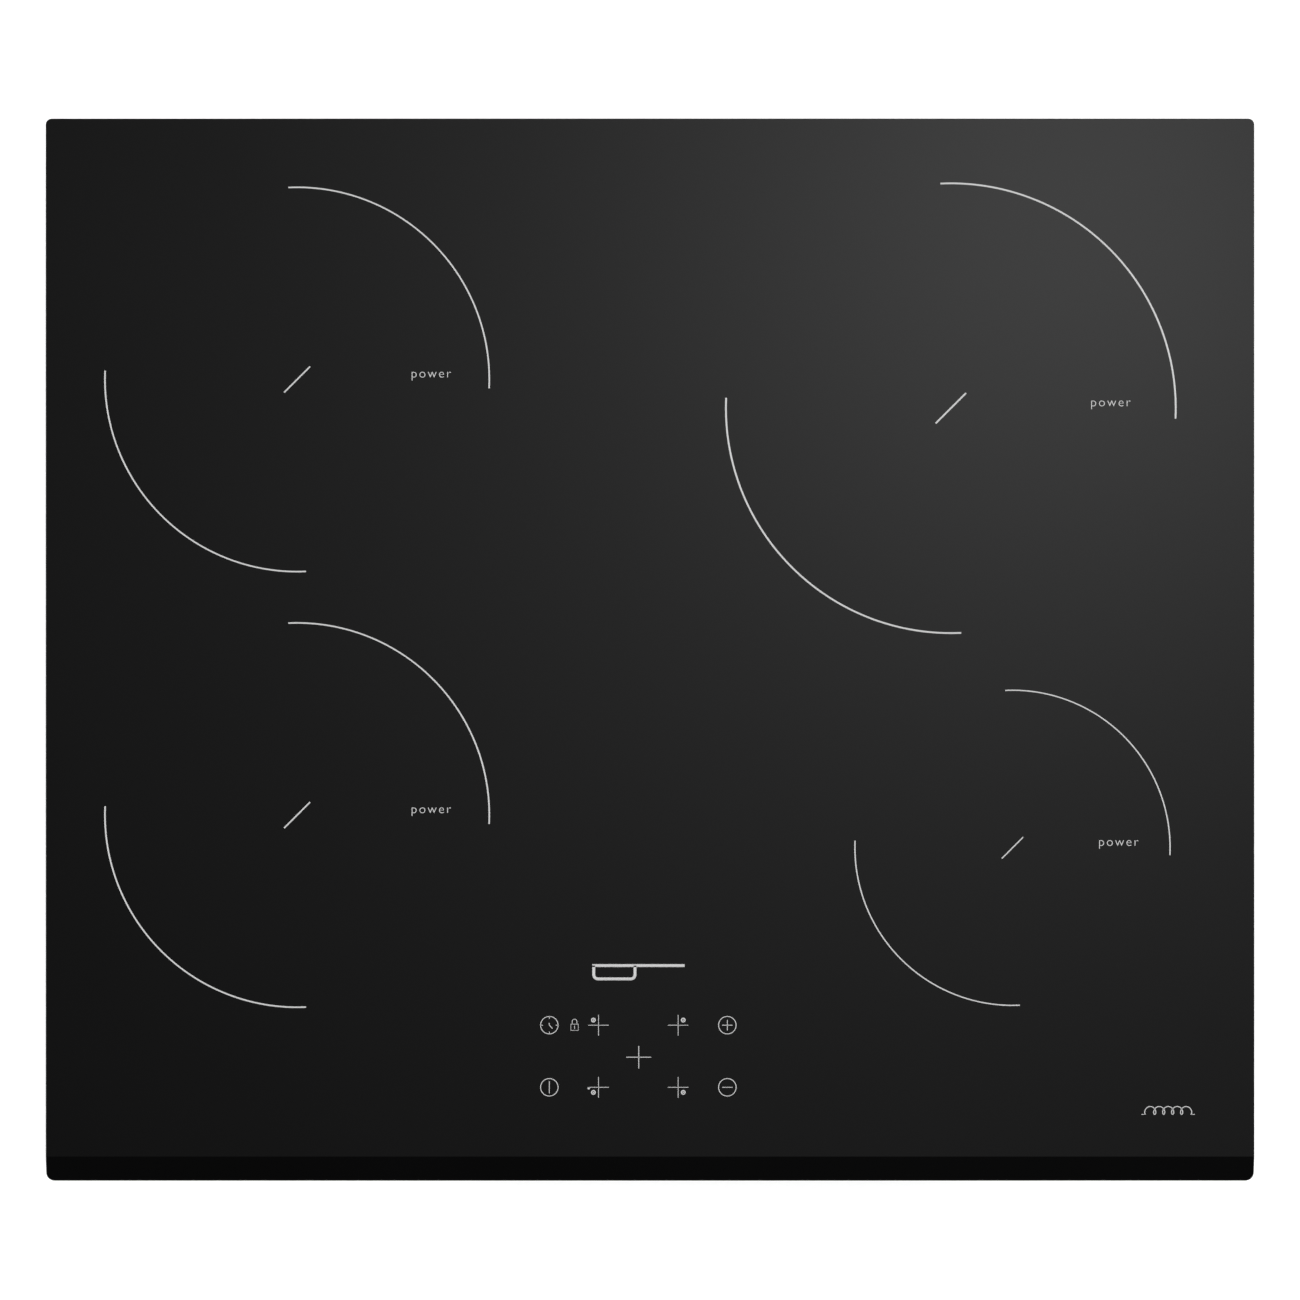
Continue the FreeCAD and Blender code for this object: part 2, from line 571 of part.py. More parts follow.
def board_tray(which):
    """Moulded insulating tray with standoffs above for its board and bosses below for the case screws."""
    x0, x1, y0, y1 = boards()[which]
    w, d = x1 - x0 + 2 * TRAY_MARGIN, y1 - y0 + 2 * TRAY_MARGIN
    cx, cy = (x0 + x1) / 2, (y0 + y1) / 2
    floor = slab(w, d, 3, TRAY_FLOOR_Z, TRAY_FLOOR_Z + 1.5, cx, cy)
    rim = band(w, d, 3, 1.5, TRAY_FLOOR_Z + 1, BOARD_Z + 1.5, cx, cy)
    standoffs = [rod(x, y, TRAY_FLOOR_Z + 1, BOARD_Z, 3.5) for x, y in board_screw_places(x0, x1, y0, y1)]
    bosses = [rod(x, y, FLOOR_Z, TRAY_FLOOR_Z + 1, 4.5) for x, y in tray_boss_places(x0, x1, y0, y1)]
    caps = [rod(x, y, TRAY_FLOOR_Z + 1, BOARD_Z - 0.4, 3.0) for x, y in tray_boss_places(x0, x1, y0, y1)]
    pilots = [rod(x, y, TRAY_FLOOR_Z + 1.2, BOARD_Z + 1, 1.35) for x, y in board_screw_places(x0, x1, y0, y1)]
    pilots += [rod(x, y, FLOOR_Z - 1, BOARD_Z - 1.6, 1.35) for x, y in tray_boss_places(x0, x1, y0, y1)]
    return floor.fuse([rim] + standoffs + bosses + caps).removeSplitter().cut(pilots)


def printed_board(which):
    x0, x1, y0, y1 = boards()[which]
    board = slab(x1 - x0, y1 - y0, 2, BOARD_Z, BOARD_TOP, (x0 + x1) / 2, (y0 + y1) / 2)
    return board.cut([rod(x, y, BOARD_Z - 1, BOARD_TOP + 1, 1.7) for x, y in board_screw_places(x0, x1, y0, y1)])


def board_screws():
    places = [p for b in boards().values() for p in board_screw_places(*b)]
    return [screw((x, y, BOARD_TOP), (0, 0, 1), 2.8, 1.6, 1.25, 4.3) for x, y in places]


def post_places():
    """Legs of the control carrier."""
    return [(KEY_CENTRE_X + sx * 62, KEY_CENTRE_Y - 2.6 + sy * 16.0) for sx in (-1, 1) for sy in (-1, 1)]


def fan_lug_places():
    return [(FAN_X + sx * 50.0, FAN_Y + 50.0) for sx in (-1, 1)] + [(FAN_X - 50.0, FAN_Y - 50.0)]


def base_screw_places():
    """Screws that come up through the case's floor."""
    places = [p for b in boards().values() for p in tray_boss_places(*b)]
    return places + post_places() + fan_lug_places()


def base_screws():
    return group([screw((x, y, BASE_Z), (0, 0, -1), 3.2, 1.4, 1.25, 5.2) for x, y in base_screw_places()])


def heat_sink(side):
    """Extruded comb with its fins along Y."""
    x0, fins, pitch, fin_t, base_t = 38.0, 9, 5.05, 1.6, 4.0
    y0, y1 = -150.0, 40.0
    width = (fins - 1) * pitch + fin_t
    points = [Vec(x0, y0, BOARD_TOP), Vec(x0, y0, PARTS_TOP)]
    for i in range(fins):
        left = x0 + i * pitch
        if i:
            points += [Vec(left, y0, BOARD_TOP + base_t), Vec(left, y0, PARTS_TOP)]
        points.append(Vec(left + fin_t, y0, PARTS_TOP))
        if i < fins - 1:
            points.append(Vec(left + fin_t, y0, BOARD_TOP + base_t))
    points += [Vec(x0 + width, y0, BOARD_TOP), points[0]]
    comb = Part.Face(Part.makePolygon(points)).extrude(Vec(0, y1 - y0, 0))
    return comb if side == RIGHT else mirrored(comb)


SINK_OUTSIDE = 38.0 + 8 * 5.05 + 1.6


def on_both_boards(shapes):
    return group(shapes + [mirrored(s) for s in shapes])


def power_transistors():
    """Switching transistors and a bridge rectifier clamped to the outside of each heat sink."""
    found = []
    for y, length in ((-128, 21), (-96, 21), (-64, 21), (-32, 21), (8, 30)):
        x0 = SINK_OUTSIDE
        body = box(x0, x0 + 5, y - length / 2, y + length / 2, BOARD_TOP + 3, BOARD_TOP + 18)
        body = body.makeChamfer(0.6, [e for e in body.Edges if e.BoundBox.XMin > x0 + 4.9])
        legs = []
        for i in (-1, 0, 1):
            leg_y = y + i * length / 4
            legs.append(box(x0 + 2, x0 + 2.8, leg_y - 0.6, leg_y + 0.6, BOARD_TOP, BOARD_TOP + 3.2))
        found.append(body.fuse(legs).removeSplitter())
    return on_both_boards(found)


def capacitor_box(x, y, length, width, height):
    can = box(x - length / 2, x + length / 2, y - width / 2, y + width / 2, BOARD_TOP, BOARD_TOP + height)
    return can.makeFillet(1.0, [e for e in can.Edges if e.BoundBox.ZMax > BOARD_TOP + 1])


def film_capacitors():
    """Resonance and smoothing capacitors in moulded boxes."""
    found = []
    for x in (216.0, 178.0):
        for y in (-138.0, -116.0):
            found.append(capacitor_box(x, y, 32, 17, 18))
    found.append(capacitor_box(150, 12, 42, 20, 18.5))
    found.append(capacitor_box(205, 12, 42, 20, 18.5))
    filters = [capacitor_box(-215, 190, 26, 12, 17), capacitor_box(-215, 172, 26, 12, 17)]
    return group(found + [mirrored(s) for s in found] + filters)


def electrolytic_capacitors():
    found = []
    for x, y, r in ((100, -150, 5), (114, -150, 5), (128, -150, 4), (150, -40, 5), (164, -40, 5)):
        can = rod(x, y, BOARD_TOP, BOARD_TOP + 3 * r - 1, r)
        found.append(can.makeFillet(0.8, [e for e in can.Edges if e.BoundBox.ZMin > BOARD_TOP + 1]))
    return on_both_boards(found)


def toroid_chokes():
    """Wound ring chokes: one on each power board and two in the mains filter."""
    found = []
    for x, y, ring_r, thick in ((200, -60, 13, 5.5), (-200, -60, 13, 5.5), (-175, 125, 15, 6.5), (-130, 125, 15, 6.5)):
        found.append(Part.makeTorus(ring_r, thick, Vec(x, y, BOARD_TOP + thick), Vec(0, 0, 1)))
    return group(found)


def relays():
    found = []
    for x, y in ((-105, 186), (-132, 186), (-220, 100)):
        case = box(x - 9.5, x + 9.5, y - 7.75, y + 7.75, BOARD_TOP, BOARD_TOP + 15)
        found.append(case.makeFillet(0.8, [e for e in case.Edges if e.BoundBox.ZMax > BOARD_TOP + 1]))
    return group(found)


RIBBON_END_X, RIBBON_END_Y = 54.0, -158.0


def board_connectors():
    """Moulded plug headers for the sensors, the fan and the control board."""
    found = []
    for x, y, w, d in ((150, 50, 20, 7), (228, -20, 7, 26), (228, 40, 7, 18), (RIBBON_END_X, RIBBON_END_Y, 8, 14)):
        header = box(x - w / 2, x + w / 2, y - d / 2, y + d / 2, BOARD_TOP, BOARD_TOP + 8)
        header = header.cut(box(x - w / 2 + 1, x + w / 2 - 1, y - d / 2 + 1, y + d / 2 - 1, BOARD_TOP + 1.5, 0))
        found.append(header)
    return on_both_boards(found)


def processor_chips():
    """Controller and gate-driver packages."""
    found = [box(x - a, x + a, y - b, y + b, BOARD_TOP, BOARD_TOP + 1.8) for x, y, a, b in ((105, -20, 7, 7), (100, 20, 3, 5))]
    return on_both_boards(found)


# ---------------------------------------------------------------- fan and duct
OUTLET_X0, OUTLET_X1, OUTLET_Y = -2.0, FAN_R, 80.0
FAN_FLOOR = FLOOR_Z + 0.2
DUCT_FLOOR = -37.0


def scroll(inset, z0, z1, front):
    """The blower's outline: a drum with a square outlet towards the front."""
    drum = rod(FAN_X, FAN_Y, z0, z1, FAN_R - inset)
    outlet = box(OUTLET_X0 + inset, OUTLET_X1 - inset, front, FAN_Y, z0, z1)
    return drum.fuse(outlet).removeSplitter()


def fan_housing():
    """Lower half of the blower: its inlet is over the grille, and a sill lifts the air to the duct's floor."""
    body = scroll(0, FAN_FLOOR, FAN_TOP, OUTLET_Y)
    hollow = scroll(1.6, FAN_FLOOR + 1.5, FAN_TOP + 1, OUTLET_Y - 1)
    lugs, pilots = [], []
    for x, y in fan_lug_places():
        reach_x, reach_y = sorted((x, FAN_X + (x - FAN_X) * 0.72)), sorted((y, FAN_Y + (y - FAN_Y) * 0.72))
        lugs += [rod(x, y, FLOOR_Z, FAN_FLOOR + 5, 4.5), box(*reach_x, *reach_y, FAN_FLOOR, FAN_FLOOR + 4)]
        pilots.append(rod(x, y, FLOOR_Z - 1, FLOOR_Z + 4.6, 1.35))
    solid = body.fuse(lugs).removeSplitter()
    solid = solid.cut([hollow, rod(FAN_X, FAN_Y, FLOOR_Z - 1, FAN_FLOOR + 2, 38.0)] + pilots)
    sill = box(OUTLET_X0, OUTLET_X1, OUTLET_Y, OUTLET_Y + 1.6, FAN_FLOOR, DUCT_FLOOR)
    return solid.fuse(sill).removeSplitter()


def fan_cover():
    """Lid of the blower, which carries the motor."""
    plate = scroll(0, FAN_TOP, FAN_TOP + 1.5, OUTLET_Y)
    return plate.cut([rod(x, y, FAN_TOP - 1, FAN_TOP + 3, 1.5) for x, y, _ in around(FAN_X, FAN_Y, 10, 3, 90)])


def fan_motor():
    """Stator and bearing tube, hung from the lid inside the impeller's hub."""
    flange = rod(FAN_X, FAN_Y, FAN_TOP - 1.5, FAN_TOP, 13.0)
    stator = rod(FAN_X, FAN_Y, -30.0, FAN_TOP - 1.5, 11.5)
    tube = rod(FAN_X, FAN_Y, -31.5, -30.0, 3.5)
    motor = flange.fuse([stator, tube]).removeSplitter()
    holes = [rod(x, y, FAN_TOP - 4, FAN_TOP + 1, 1.25) for x, y, _ in around(FAN_X, FAN_Y, 10, 3, 90)]
    return motor.cut([rod(FAN_X, FAN_Y, -40, FAN_TOP - 1, 1.55)] + holes)


def fan_screws():
    places = [(x, y) for x, y, _ in around(FAN_X, FAN_Y, 10, 3, 90)]
    return [screw((x, y, FAN_TOP + 1.5), (0, 0, 1), 2.2, 0.9, 1.2, 5.0) for x, y in places]


def inner_screws():
    """Screws that hold the coil tray, the boards and the fan motor."""
    return group(tray_screws() + board_screws() + fan_screws())


def blade(turn):
    """One forward-curved vane, as a thin curved strip."""
    z0, z1 = -43.0, -21.0
    inner_r, outer_r, thick = 36.5, 46.6, 0.9

    def at(r, degrees, shift):
        angle = math.radians(degrees)
        return Vec(r * math.cos(angle) - shift * math.sin(angle), r * math.sin(angle) + shift * math.cos(angle), z0)

    front = [at(inner_r, 0, 0), at((inner_r + outer_r) / 2, 1.6, 0), at(outer_r, 6.5, 0)]
    back = [at(outer_r, 6.5, thick), at((inner_r + outer_r) / 2, 1.6, thick), at(inner_r, 0, thick)]
    edges = [
        Part.Arc(*front).toShape(),
        Part.LineSegment(front[2], back[0]).toShape(),
        Part.Arc(*back).toShape(),
        Part.LineSegment(back[2], front[0]).toShape(),
    ]
    strip = Part.Face(Part.Wire(edges)).extrude(Vec(0, 0, z1 - z0))
    strip.rotate(Vec(0, 0, 0), Vec(0, 0, 1), turn)
    strip.translate(Vec(FAN_X, FAN_Y, 0))
    return strip


def fan_impeller():
    """Radial wheel: hub cup over the motor, back plate, vanes and the ring at the inlet."""
    hub = rod(FAN_X, FAN_Y, -34.0, -20.6, 17.5).cut(rod(FAN_X, FAN_Y, -32.2, -20.0, 15.8))
    back = pipe(FAN_X, FAN_Y, -22.0, -20.6, 47.5, 16.6)
    ring = pipe(FAN_X, FAN_Y, -44.0, -42.4, 47.5, 36.0)
    vanes = [blade(i * 10.0) for i in range(36)]
    wheel = hub.fuse([back, ring] + vanes).removeSplitter()
    return wheel.cut(rod(FAN_X, FAN_Y, -40, -30, 1.5))


def fan_shaft():
    return rod(FAN_X, FAN_Y, -34.0, FAN_TOP - 1.4, 1.5)


def air_duct():
    """Funnel from the blower's outlet to the two heat sinks, with a lid over their fins."""
    wall, near, far, end = 1.5, OUTLET_Y - 0.3, 42.0, -150.0
    half = SINK_OUTSIDE + 0.5
    lid_z0 = PARTS_TOP + 0.4

    def section(x0, x1, y, z0, z1):
        return Part.makePolygon([Vec(x0, y, z0), Vec(x1, y, z0), Vec(x1, y, z1), Vec(x0, y, z1), Vec(x0, y, z0)])

    high = lid_z0 + wall
    outer_near = section(OUTLET_X0, OUTLET_X1, near, DUCT_FLOOR, high)
    outer_far = section(-half, half, far, DUCT_FLOOR, high)
    inner_near = section(OUTLET_X0 + wall, OUTLET_X1 - wall, near + 0.1, DUCT_FLOOR + wall, lid_z0)
    inner_far = section(-half + wall, half - wall, far - 0.1, DUCT_FLOOR + wall, lid_z0)
    funnel = Part.makeLoft([outer_near, outer_far], True).cut(Part.makeLoft([inner_near, inner_far], True))
    lid = box(-half, half, end, far, lid_z0, high)
    return funnel.fuse(lid).removeSplitter()


# ---------------------------------------------------------------- touch controls
PANEL_W, PANEL_D = 140.0, 48.0
PANEL_Y = KEY_CENTRE_Y - 1.6
PANEL_FLOOR = -10.0
TOUCH_Z = -4.6  # underside of the touch board


def control_carrier():
    """Moulded tray that holds the touch board under the glass, on four legs."""
    cx, cy = KEY_CENTRE_X, PANEL_Y
    tray = slab(PANEL_W, PANEL_D, 4, PANEL_FLOOR, GLASS_Z - 0.2, cx, cy)
    tray = tray.cut(slab(PANEL_W - 3, PANEL_D - 3, 2.5, PANEL_FLOOR + 1.5, GLASS_Z + 1, cx, cy))
    legs = [rod(x, y, FLOOR_Z, PANEL_FLOOR + 0.5, 4.0) for x, y in post_places()]
    pads = [rod(x, y, PANEL_FLOOR + 1, TOUCH_Z, 3.0) for x, y in post_places()]
    pilots = [rod(x, y, FLOOR_Z - 1, FLOOR_Z + 8, 1.35) for x, y in post_places()]
    window = box(cx - 14, cx + 14, cy - 5, cy + 5, PANEL_FLOOR - 1, PANEL_FLOOR + 2)
    return tray.fuse(legs + pads).removeSplitter().cut(pilots + [window])


def touch_board():
    return slab(PANEL_W - 5, PANEL_D - 5, 2, TOUCH_Z, TOUCH_Z + BOARD_T, KEY_CENTRE_X, PANEL_Y)


def key_places():
    return [(KEY_CENTRE_X + x, KEY_CENTRE_Y + s * KEY_ROW_Y) for x in KEY_COLUMNS_X for s in (-1, 1)]


def touch_springs():
    """Coiled contact under each key, between the board and the glass."""
    z0 = TOUCH_Z + BOARD_T
    return copies(spring_sleeve(4.0, 0.6, GLASS_Z - z0, 5, z0), key_places())


def digit_displays():
    """One-digit display for each zone, round the middle of the key field."""
    found = []
    for sx in (-1, 1):
        for sy in (-1, 1):
            x, y = KEY_CENTRE_X + sx * 7.5, KEY_CENTRE_Y + sy * 7.5
            z0 = TOUCH_Z + BOARD_T
            found.append(box(x - 4, x + 4, y - 5.5, y + 5.5, z0, GLASS_Z - 0.6))
    return group(found)


def control_ribbon():
    """Flat cable from the touch board down and across to a header on the left power board."""
    thick, half, run_z = 0.9, 5.5, -28.0
    x, end_x = KEY_CENTRE_X, -RIBBON_END_X
    y0, y1 = RIBBON_END_Y - half, RIBBON_END_Y + half
    drop = box(x - half, x + half, PANEL_Y, PANEL_Y + thick, run_z, TOUCH_Z)
    back = box(x - half, x + half, PANEL_Y, y1, run_z, run_z + thick)
    across = box(end_x, x + half, y0, y1, run_z, run_z + thick)
    plug = box(end_x, end_x + thick, y0, y1, BOARD_TOP + 1.5, run_z + thick)
    return drop.fuse([back, across, plug]).removeSplitter()


# ---------------------------------------------------------------- mains terminals
HOUSING = (TERMINAL_X0 - 0.2, TERMINAL_X1 + 0.2, 163.0, 217.4)
HOUSING_TOP = -19.5
HOUSING_WALL = 1.8


def terminal_housing():
    """Moulded chamber over the hole in the case's floor, open below, which keeps the mains wires apart."""
    x0, x1, y0, y1 = HOUSING
    w, d = x1 - x0, y1 - y0
    cx, cy = (x0 + x1) / 2, (y0 + y1) / 2
    tub = slab(w, d, 2, FLOOR_Z, HOUSING_TOP, cx, cy)
    flange = slab(w + 6, d + 0.8, 2, FLOOR_Z, FLOOR_Z + 1.5, cx, cy)
    inside = slab(w - 2 * HOUSING_WALL, d - 2 * HOUSING_WALL, 1.5, FLOOR_Z - 1, HOUSING_TOP - HOUSING_WALL, cx, cy)
    inlet = Part.makeCylinder(INLET_R + 1.55, 8, Vec(INLET_X, y1 - 4, INLET_Z), Vec(0, 1, 0))
    bores = Part.makeCylinder(1.06, w + 2, Vec(x0 - 1, HINGE_Y, HINGE_Z), Vec(1, 0, 0))
    exit_slot = box(x0 - 1, x0 + 3, 199.5, 214, PORT_Z - 2, PORT_Z + 2)
    return tub.fuse(flange).removeSplitter().cut([inside, inlet, bores, exit_slot])


BLOCK_Y0, BLOCK_Y1 = 173.0, 192.0
TERMINAL_COUNT, TERMINAL_PITCH = 5, 11.0
BLOCK_Z1 = HOUSING_TOP - HOUSING_WALL
BLOCK_Z0 = BLOCK_Z1 - 13.0
PORT_Z = BLOCK_Z0 + 7.0


def terminal_places():
    middle = (TERMINAL_COUNT - 1) / 2
    return [INLET_X + (i - middle) * TERMINAL_PITCH for i in range(TERMINAL_COUNT)]


def terminal_block():
    """Five-way block under the chamber's ceiling, with its screws facing down and wire ports to the rear."""
    z0, half = BLOCK_Z0, TERMINAL_COUNT * TERMINAL_PITCH / 2
    block = box(INLET_X - half, INLET_X + half, BLOCK_Y0, BLOCK_Y1, z0, BLOCK_Z1)
    middle_y = (BLOCK_Y0 + BLOCK_Y1) / 2
    cuts = []
    for x in terminal_places():
        cuts.append(rod(x, middle_y, z0 - 1, z0 + 5, 2.8))
        cuts.append(Part.makeCylinder(2.2, 8, Vec(x, BLOCK_Y1 - 6, PORT_Z), Vec(0, 1, 0)))
    for x in terminal_places()[1:]:
        edge = x - TERMINAL_PITCH / 2
        cuts.append(box(edge - 0.5, edge + 0.5, BLOCK_Y0 - 1, BLOCK_Y1 + 1, z0 - 1, z0 + 3))
    return block.cut(cuts)


def terminal_screws():
    """Clamping screws of the terminals, sunk in the block."""
    z0, middle_y = BLOCK_Z0, (BLOCK_Y0 + BLOCK_Y1) / 2
    found = []
    for x in terminal_places():
        head = rod(x, middle_y, z0 + 1.5, z0 + 5, 2.5)
        found.append(head.cut(box(x - 3, x + 3, middle_y - 0.4, middle_y + 0.4, z0, z0 + 2.4)))
    return group(found)


def terminal_cover():
    """Hinged lid under the chamber: two pinned lugs and clipped corners in front, two latch tongues behind."""
    x0, x1 = TERMINAL_X0 + 0.5, TERMINAL_X1 - 0.5
    y0, y1 = HINGE_Y - 2.5, TERMINAL_Y1 - 0.6
    z0, z1 = FLOOR_Z - 1.5, FLOOR_Z - 0.05
    plate = slab(x1 - x0, y1 - y0, 1.5, z0, z1, (x0 + x1) / 2, (y0 + y1) / 2)
    walls = HOUSING[0] + HOUSING_WALL, HOUSING[1] - HOUSING_WALL
    pieces = []
    for wall, side in ((walls[0], 1), (walls[1], -1)):
        lug_x = sorted((wall + side * 0.6, wall + side * 6.0))
        pieces.append(box(*lug_x, HINGE_Y - 1.7, HINGE_Y + 1.7, z1 - 0.3, HINGE_Z + 1.6))
        start = wall - side * (HOUSING_WALL - 0.2)
        pieces.append(Part.makeCylinder(1.0, HOUSING_WALL + 1.4, Vec(start, HINGE_Y, HINGE_Z), Vec(side, 0, 0)))
    for x in (INLET_X - 22, INLET_X + 22):
        pieces.append(box(x - 4, x + 4, y1 - 2.4, y1 - 0.8, z1 - 0.3, z1 + 6))
    rib_y = (y0 + y1) / 2
    pieces.append(box(x0 + 8, x1 - 8, rib_y - 0.6, rib_y + 0.6, z1 - 0.3, z1 + 1.6))
    cuts = [box(INLET_X - 6, INLET_X + 6, y1 - 1.4, y1 + 1, z0 - 1, z1 + 1)]
    for edge, wall, side in ((x0, walls[0], 1), (x1, walls[1], -1)):
        corner_x = sorted((edge - side, wall + side * 0.6))
        cuts.append(box(*corner_x, y0 - 1, HINGE_Y + 3, z0 - 1, z1 + 0.2))
    return plate.fuse(pieces).removeSplitter().cut(cuts)


def cable_gland():
    """Flanged bush in the rear wall of the case that the mains cable enters through."""
    rear = LOWER_D / 2
    start = 214.5
    outer = Part.makeCylinder(INLET_R + 1.5, rear - start + 1.0, Vec(INLET_X, start, INLET_Z), Vec(0, 1, 0))
    flange = Part.makeCylinder(INLET_R + 3.6, 2.4, Vec(INLET_X, rear, INLET_Z), Vec(0, 1, 0))
    flange = flange.makeFillet(0.8, [e for e in flange.Edges if e.BoundBox.YMin > rear + 2.3])
    bore = Part.makeCylinder(INLET_R, 20, Vec(INLET_X, start - 2, INLET_Z), Vec(0, 1, 0))
    return outer.fuse(flange).removeSplitter().cut(bore)


def mains_leads():
    """Wires from the first three terminals round behind the fan and down to the filter board."""
    found = []
    for i, x in enumerate(terminal_places()[:3]):
        behind_fan_y, beside_fan_x, end_y = 202.0 + 4.7 * i, -63.0 - 4.5 * i, 151.0 + 7.0 * i
        route = [
            (x, BLOCK_Y1, PORT_Z),
            (x, behind_fan_y, PORT_Z),
            (beside_fan_x, behind_fan_y, PORT_Z),
            (beside_fan_x, end_y, PORT_Z),
            (FILTER[1] - 6, end_y, PORT_Z),
            (FILTER[1] - 6, end_y, BOARD_TOP),
        ]
        found.append(cable(route, 1.4))
    return found


def inner_leads():
    return group(coil_leads() + mains_leads())


# ---------------------------------------------------------------- everything, by node name
def parts():
    made = {
        "glass_plate": glass_plate(),
        "glass_bond": glass_bond(),
        "worktop_seal": worktop_seal(),
        "support_frame": support_frame(),
        "frame_screws": frame_screws(),
        "lower_case": lower_case(),
        "base_screws": base_screws(),
        "clamp_screws": clamp_screws(),
        "rivet_nuts": rivet_nuts(),
        "mica_discs": mica_discs(),
        "ferrite_bars": ferrite_bars(),
        "temperature_sensors": temperature_sensors(),
        "coil_springs": coil_springs(),
        "coil_tray": coil_tray(),
        "inner_screws": inner_screws(),
        "inner_leads": inner_leads(),
        "lead_terminals": lead_terminals(),
        "left_board_tray": board_tray("left"),
        "right_board_tray": board_tray("right"),
        "filter_board_tray": board_tray("filter"),
        "left_power_board": printed_board("left"),
        "right_power_board": printed_board("right"),
        "filter_board": printed_board("filter"),
        "left_heat_sink": heat_sink(LEFT),
        "right_heat_sink": heat_sink(RIGHT),
        "power_transistors": power_transistors(),
        "film_capacitors": film_capacitors(),
        "electrolytic_capacitors": electrolytic_capacitors(),
        "toroid_chokes": toroid_chokes(),
        "relays": relays(),
        "board_connectors": board_connectors(),
        "processor_chips": processor_chips(),
        "fan_housing": fan_housing(),
        "fan_cover": fan_cover(),
        "fan_motor": fan_motor(),
        "fan_impeller": fan_impeller(),
        "fan_shaft": fan_shaft(),
        "air_duct": air_duct(),
        "control_carrier": control_carrier(),
        "touch_board": touch_board(),
        "touch_springs": touch_springs(),
        "digit_displays": digit_displays(),
        "control_ribbon": control_ribbon(),
        "terminal_housing": terminal_housing(),
        "terminal_block": terminal_block(),
        "terminal_screws": terminal_screws(),
        "terminal_cover": terminal_cover(),
        "cable_gland": cable_gland(),
    }
    for zone in ZONES:
        made[f"coil_former_{zone}"] = coil_former(zone)
        made[f"coil_winding_{zone}"] = coil_winding(zone)
    for name, x, y in clamp_places():
        made[f"worktop_clamp_{name}"] = worktop_clamp(x, y)
    return made


def main():
    os.makedirs("parts", exist_ok=True)
    for name, shape in parts().items():
        solids = shape.Solids
        if not solids or not all(s.isValid() and s.Volume > 0 for s in solids):
            raise RuntimeError(f"{name} is not made of valid solids")
        shape.exportStep(f"parts/{name}.step")
        print(f"{name}: {len(solids)} solid(s), {sum(s.Volume for s in solids) / 1000:.2f} cm3")


main()
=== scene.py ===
# %% [markdown]
# # A built-in induction cooktop
#
# The object is a flat black glass plate over a shallow steel case. Its frame was drawn in CAD: every solid
# part is already there at its real size, in metres, with Z up and the origin on the worktop's surface.
# This lesson gives the frame its finishes, and rebuilds the pieces whose beauty is in the mesh: the glass
# with its ground edges and wide front facet, the enamel marks printed on it, the coils of stranded wire,
# the springs and the wound chokes.

# %% Load the frame
import json
import math

import bmesh
import bpy
from mathutils import Matrix, Vector

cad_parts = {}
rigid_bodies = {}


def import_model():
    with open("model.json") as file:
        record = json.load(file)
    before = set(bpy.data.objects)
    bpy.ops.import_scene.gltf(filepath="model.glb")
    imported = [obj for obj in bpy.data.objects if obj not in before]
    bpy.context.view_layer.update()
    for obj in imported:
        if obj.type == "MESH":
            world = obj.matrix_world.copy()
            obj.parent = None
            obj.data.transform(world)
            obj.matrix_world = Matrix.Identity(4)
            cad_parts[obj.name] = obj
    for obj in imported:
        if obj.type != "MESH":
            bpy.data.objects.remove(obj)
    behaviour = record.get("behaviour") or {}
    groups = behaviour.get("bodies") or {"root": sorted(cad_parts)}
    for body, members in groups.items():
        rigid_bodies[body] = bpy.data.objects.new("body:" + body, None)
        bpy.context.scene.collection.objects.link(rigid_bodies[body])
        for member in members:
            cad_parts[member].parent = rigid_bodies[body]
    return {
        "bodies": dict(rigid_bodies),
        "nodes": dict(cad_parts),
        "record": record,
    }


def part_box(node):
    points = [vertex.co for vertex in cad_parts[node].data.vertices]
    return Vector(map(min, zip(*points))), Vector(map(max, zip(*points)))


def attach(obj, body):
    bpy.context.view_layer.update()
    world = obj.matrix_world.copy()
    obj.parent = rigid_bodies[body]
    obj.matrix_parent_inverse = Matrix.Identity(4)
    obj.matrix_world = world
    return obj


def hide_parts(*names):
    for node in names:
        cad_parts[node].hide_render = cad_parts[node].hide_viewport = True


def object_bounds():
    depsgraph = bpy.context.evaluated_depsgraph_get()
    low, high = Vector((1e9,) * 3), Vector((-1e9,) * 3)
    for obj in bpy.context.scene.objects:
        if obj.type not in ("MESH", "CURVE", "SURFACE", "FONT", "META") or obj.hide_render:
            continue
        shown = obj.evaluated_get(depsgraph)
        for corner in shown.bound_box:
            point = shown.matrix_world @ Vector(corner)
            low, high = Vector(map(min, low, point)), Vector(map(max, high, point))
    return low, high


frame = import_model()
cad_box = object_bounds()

MM = 0.001
nodes = frame["nodes"]
slot_of = {part["node"]: part["material_slot"] for part in frame["record"]["subparts"]}
print("CAD nodes:", len(nodes), "bodies:", sorted(frame["bodies"]))

# %% [markdown]
# ## Working with node trees from Python
#
# Materials, the sky and Geometry Nodes are all node trees. A long list of `nodes.new` and `links.new` calls
# is hard to read, so two small classes do the wiring. `Graph.node` adds any node from its type, its
# settings and the values or links of its inputs. `Wire` is one output of a node, and Python's own
# operators work on it, so a mask can be written as `1 - spots * 0.3`.

